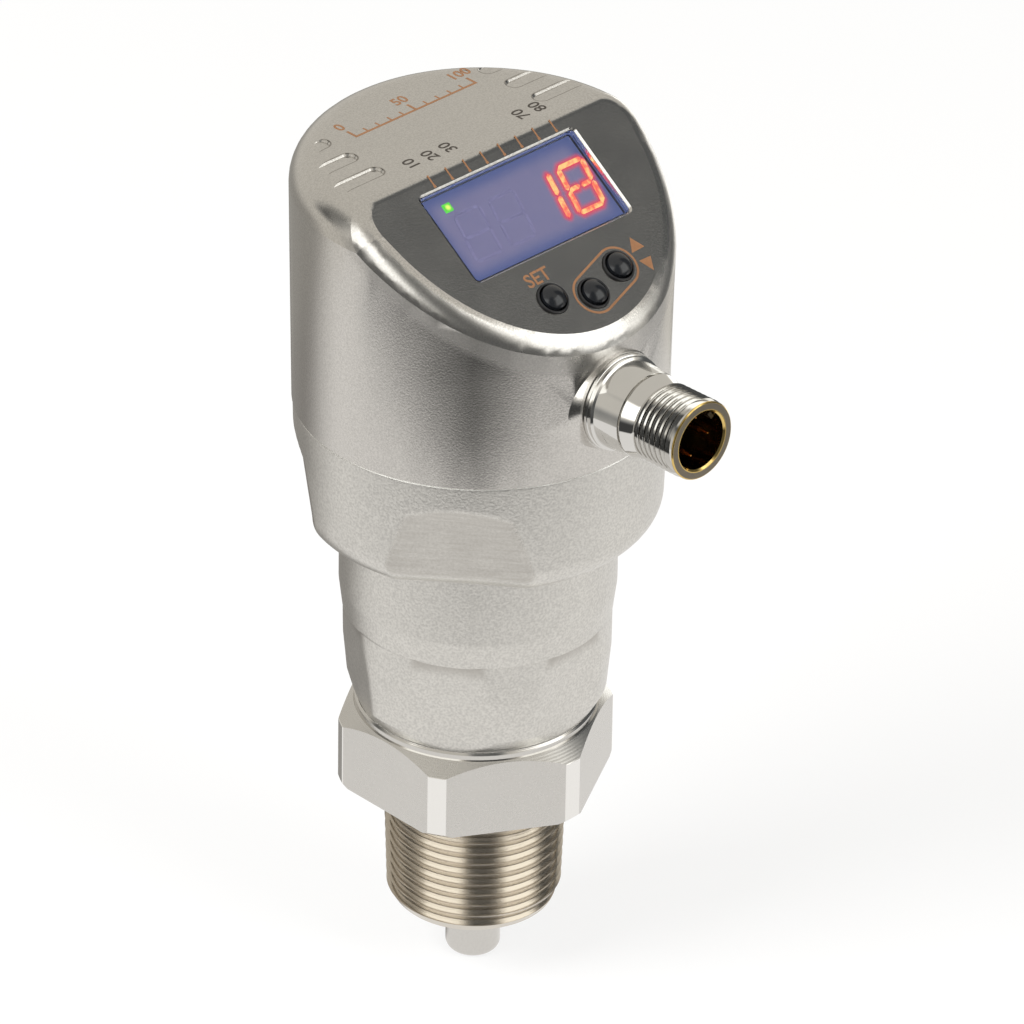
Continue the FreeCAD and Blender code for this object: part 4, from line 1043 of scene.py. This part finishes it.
# The studio seen in the metal. Each card has its bearing from the camera's side, half width, elevation,
# half height and softness in degrees, then brightness and warmth. A later card covers an earlier one.
studio = {
    "plain": 0.62, "warmth": 0.85, "lampLevel": 0.55, "cool": (0.955, 1.0, 1.02), "warm": (1.06, 1.0, 0.89),
    "cards": (
        (-150, 42, -28, 18, 10, 0.33, 0.8),
        (8, 84, -22, 22, 8, 0.06, 0.3),
        (14, 20, 20, 42, 7, 0.115, 0.3),
        (122, 17, 14, 50, 6, 0.115, 0.1),
        (-98, 13, 20, 14, 5, 0.12, 0.5),
        (70, 26, 24, 24, 4, 2.0, 0.4),
        (-42, 29, 26, 19, 4, 2.0, 0.4),
        (158, 12, -12, 14, 5, 1.8, 0.4),
        (83, 8, -16, 4, 2, 1.6, 0.4),
    ),
    "sheet": {"reach": 420.0, "front": -4.0, "near": 174.0, "growth": 0.8, "widest": 80.0, "soft": 16.0,
              "level": 0.86, "leftLevel": 0.26, "leftFrom": -128.0, "leftTo": -88.0},
    # Bearing, elevation, distance and width in metres, watts.
    "lamps": {"keyLamp": (-60, 42, 1.0, 0.6, 9.0), "fillLamp": (55, 35, 1.1, 0.6, 6.0)},
    "floor": {"reach": 3.0, "grey": (0.86, 0.88), "cloud": 60.0, "glow": 0.72},
}
# The camera, in degrees and millimetres.
view = {"azimuth": -44.586, "elevation": 31.305, "roll": 0.964, "distance": 1305.534, "aim": (4.701, 42.798),
        "lens": 322.97}


def buildStudio(look):
    world = bpy.context.scene.world or bpy.data.worlds.new("studio")
    bpy.context.scene.world = world
    world.use_nodes = True
    graph = Graph(world.node_tree)
    world.node_tree.nodes.clear()
    direction = graph.node("ShaderNodeTexCoord", out="Generated")
    x, y, z = graph.split(direction)
    level = z.maths("ARCSINE", z) * math.degrees(1)
    bearing = graph.bearing(x, y) * math.degrees(1) - view["azimuth"]
    brightness, warmth = look["plain"], look["warmth"]
    for across, halfWidth, up, halfHeight, soft, strength, heat in look["cards"]:
        off = abs(z.maths("WRAP", bearing - across, 180.0, -180.0))
        mask = graph.smooth(off, halfWidth + soft, halfWidth - soft)
        mask = mask * graph.smooth(abs(level - up), halfHeight + soft, halfHeight - soft)
        brightness = mask * strength + (1 - mask) * brightness
        warmth = mask * heat + (1 - mask) * warmth
    seen, glossy, through = (graph.node("ShaderNodeLightPath", out="Is %s Ray" % kind)
                             for kind in ("Camera", "Glossy", "Transmission"))
    mirrored = z.maths("MAXIMUM", glossy, through)
    strength = seen + (1 - seen) * (mirrored * brightness + (1 - mirrored) * look["lampLevel"])
    shade = graph.blend(warmth, tinted(look["cool"]), tinted(look["warm"]))
    shade = graph.blend(seen, shade, (1, 1, 1, 1))
    sky = graph.node("ShaderNodeBackground", None, {"Color": shade, "Strength": strength})
    graph.fill(world.node_tree.nodes.new("ShaderNodeOutputWorld"), {"Surface": sky})


def staged(name, corners, faces, material, unseenBy):
    # A part of the studio, left out of the rays named last.
    mesh = bpy.data.meshes.new(name)
    mesh.from_pydata(corners, [], faces)
    mesh.materials.append(material)
    made = placed(name, mesh)
    for ray in unseenBy:
        setattr(made, "visible_" + ray, False)


def buildFloor(look):
    # A pale floor that glows for the camera, so that it is white but keeps the object's shadow.
    finish = Finish("paleFloor")
    finish.shade({"Base Color": finish.uneven(finish.noise(look["cloud"]), (1, 1, 1), *look["grey"]),
                  "Roughness": 0.9, "Specular IOR Level": 0.0})
    white = finish.node("ShaderNodeEmission", None, {"Color": (1, 1, 1, 1), "Strength": 1.0})
    seen = finish.node("ShaderNodeLightPath", out="Is Camera Ray")
    mixed = finish.node("ShaderNodeMixShader", None, {
        0: seen * look["glow"], 1: Wire(finish, finish.shader.outputs[0]), 2: white})
    finish.fill(finish.tree.nodes["Material Output"], {"Surface": mixed})
    reach = look["reach"]
    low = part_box("probe_stub")[0].z
    corners = [(x * reach, y * reach, low) for x, y in ((-1, -1), (1, -1), (1, 1), (-1, 1))]
    staged("floor", corners, [(0, 1, 2, 3)], finish.material, ["glossy"])


def buildSheet(look):
    # The white sheet under the object as the metal sees it. Its edge is nearest in front and behind,
    # at a distance of near, and furthest at the sides. It is dim on the left.
    finish = Finish("whiteSheet")
    x, y, z = finish.split(finish.place)
    reach = finish.radius(finish.place) / mm
    bearing = z.maths("WRAP", finish.bearing(x, y) * math.degrees(1) - view["azimuth"], 180.0, -180.0)
    aside = z.maths("PINGPONG", abs(bearing - look["front"]), look["widest"])
    edge = aside * look["growth"] + look["near"]
    cover = finish.smooth(reach, edge + look["soft"], edge - look["soft"])
    dim = z.maths("MAXIMUM", finish.smooth(bearing, look["leftTo"], look["leftFrom"]),
                  finish.smooth(bearing, 168.0, 180.0))
    cloud = finish.noise(25.0)
    light = finish.blend(dim, tinted((1.02, 1, 0.97), look["level"]), tinted((1.05, 1, 0.93), look["leftLevel"]))
    finish.shade({"Base Color": (0, 0, 0, 1), "Specular IOR Level": 0.0, "Emission Strength": 1.0, "Alpha": cover,
                  "Emission Color": finish.blend(cloud * 0.06, light, (1, 1, 1, 1))})
    count = 48
    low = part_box("probe_stub")[0].z + 0.05 * mm
    corners = [(0.0, 0.0, low)]
    for step in range(count):
        angle = math.tau * step / count
        corners.append((look["reach"] * mm * math.sin(angle), -look["reach"] * mm * math.cos(angle), low))
    faces = [(0, 1 + step, 1 + (step + 1) % count) for step in range(count)]
    staged("sheet", corners, faces, finish.material, ["camera", "diffuse", "shadow", "transmission"])


def seenFrom(azimuth, elevation):
    # Unit vector from the object towards a viewer.
    a, e = math.radians(azimuth), math.radians(elevation)
    return Vector((math.sin(a) * math.cos(e), -math.cos(a) * math.cos(e), math.sin(e)))


def addLamp(name, azimuth, elevation, distance, width, power):
    lamp = bpy.data.lights.new(name, "AREA")
    lamp.shape = "DISK"
    lamp.size = width
    lamp.energy = power
    holder = placed(name, lamp)
    back = seenFrom(azimuth + view["azimuth"], elevation)
    holder.location = Vector((0, 0, view["aim"][1] * mm)) + back * distance
    holder.rotation_mode = "QUATERNION"
    holder.rotation_quaternion = (-back).to_track_quat("-Z", "Y")
    holder.visible_glossy = False


def buildCamera():
    roll = math.radians(view["roll"])
    back = seenFrom(view["azimuth"], view["elevation"])
    right = seenFrom(view["azimuth"] + 90, 0)
    up = back.cross(right)
    across = right * math.cos(roll) + up * math.sin(roll)
    upright = up * math.cos(roll) - right * math.sin(roll)
    camera = bpy.data.cameras.new("camera")
    camera.lens = view["lens"]
    camera.sensor_width = 36.0
    camera.clip_start = 0.05
    camera.clip_end = 20.0
    holder = placed("camera", camera)
    place = Vector((0, 0, view["aim"][1] * mm)) + right * view["aim"][0] * mm + back * view["distance"] * mm
    holder.matrix_world = axes(across, upright, back, place)
    bpy.context.scene.camera = holder


buildStudio(studio)
buildFloor(studio["floor"])
buildSheet(studio["sheet"])
for name, settings in studio["lamps"].items():
    addLamp(name, *settings)
buildCamera()
bpy.context.scene.view_settings.view_transform = "Standard"
print("studio")
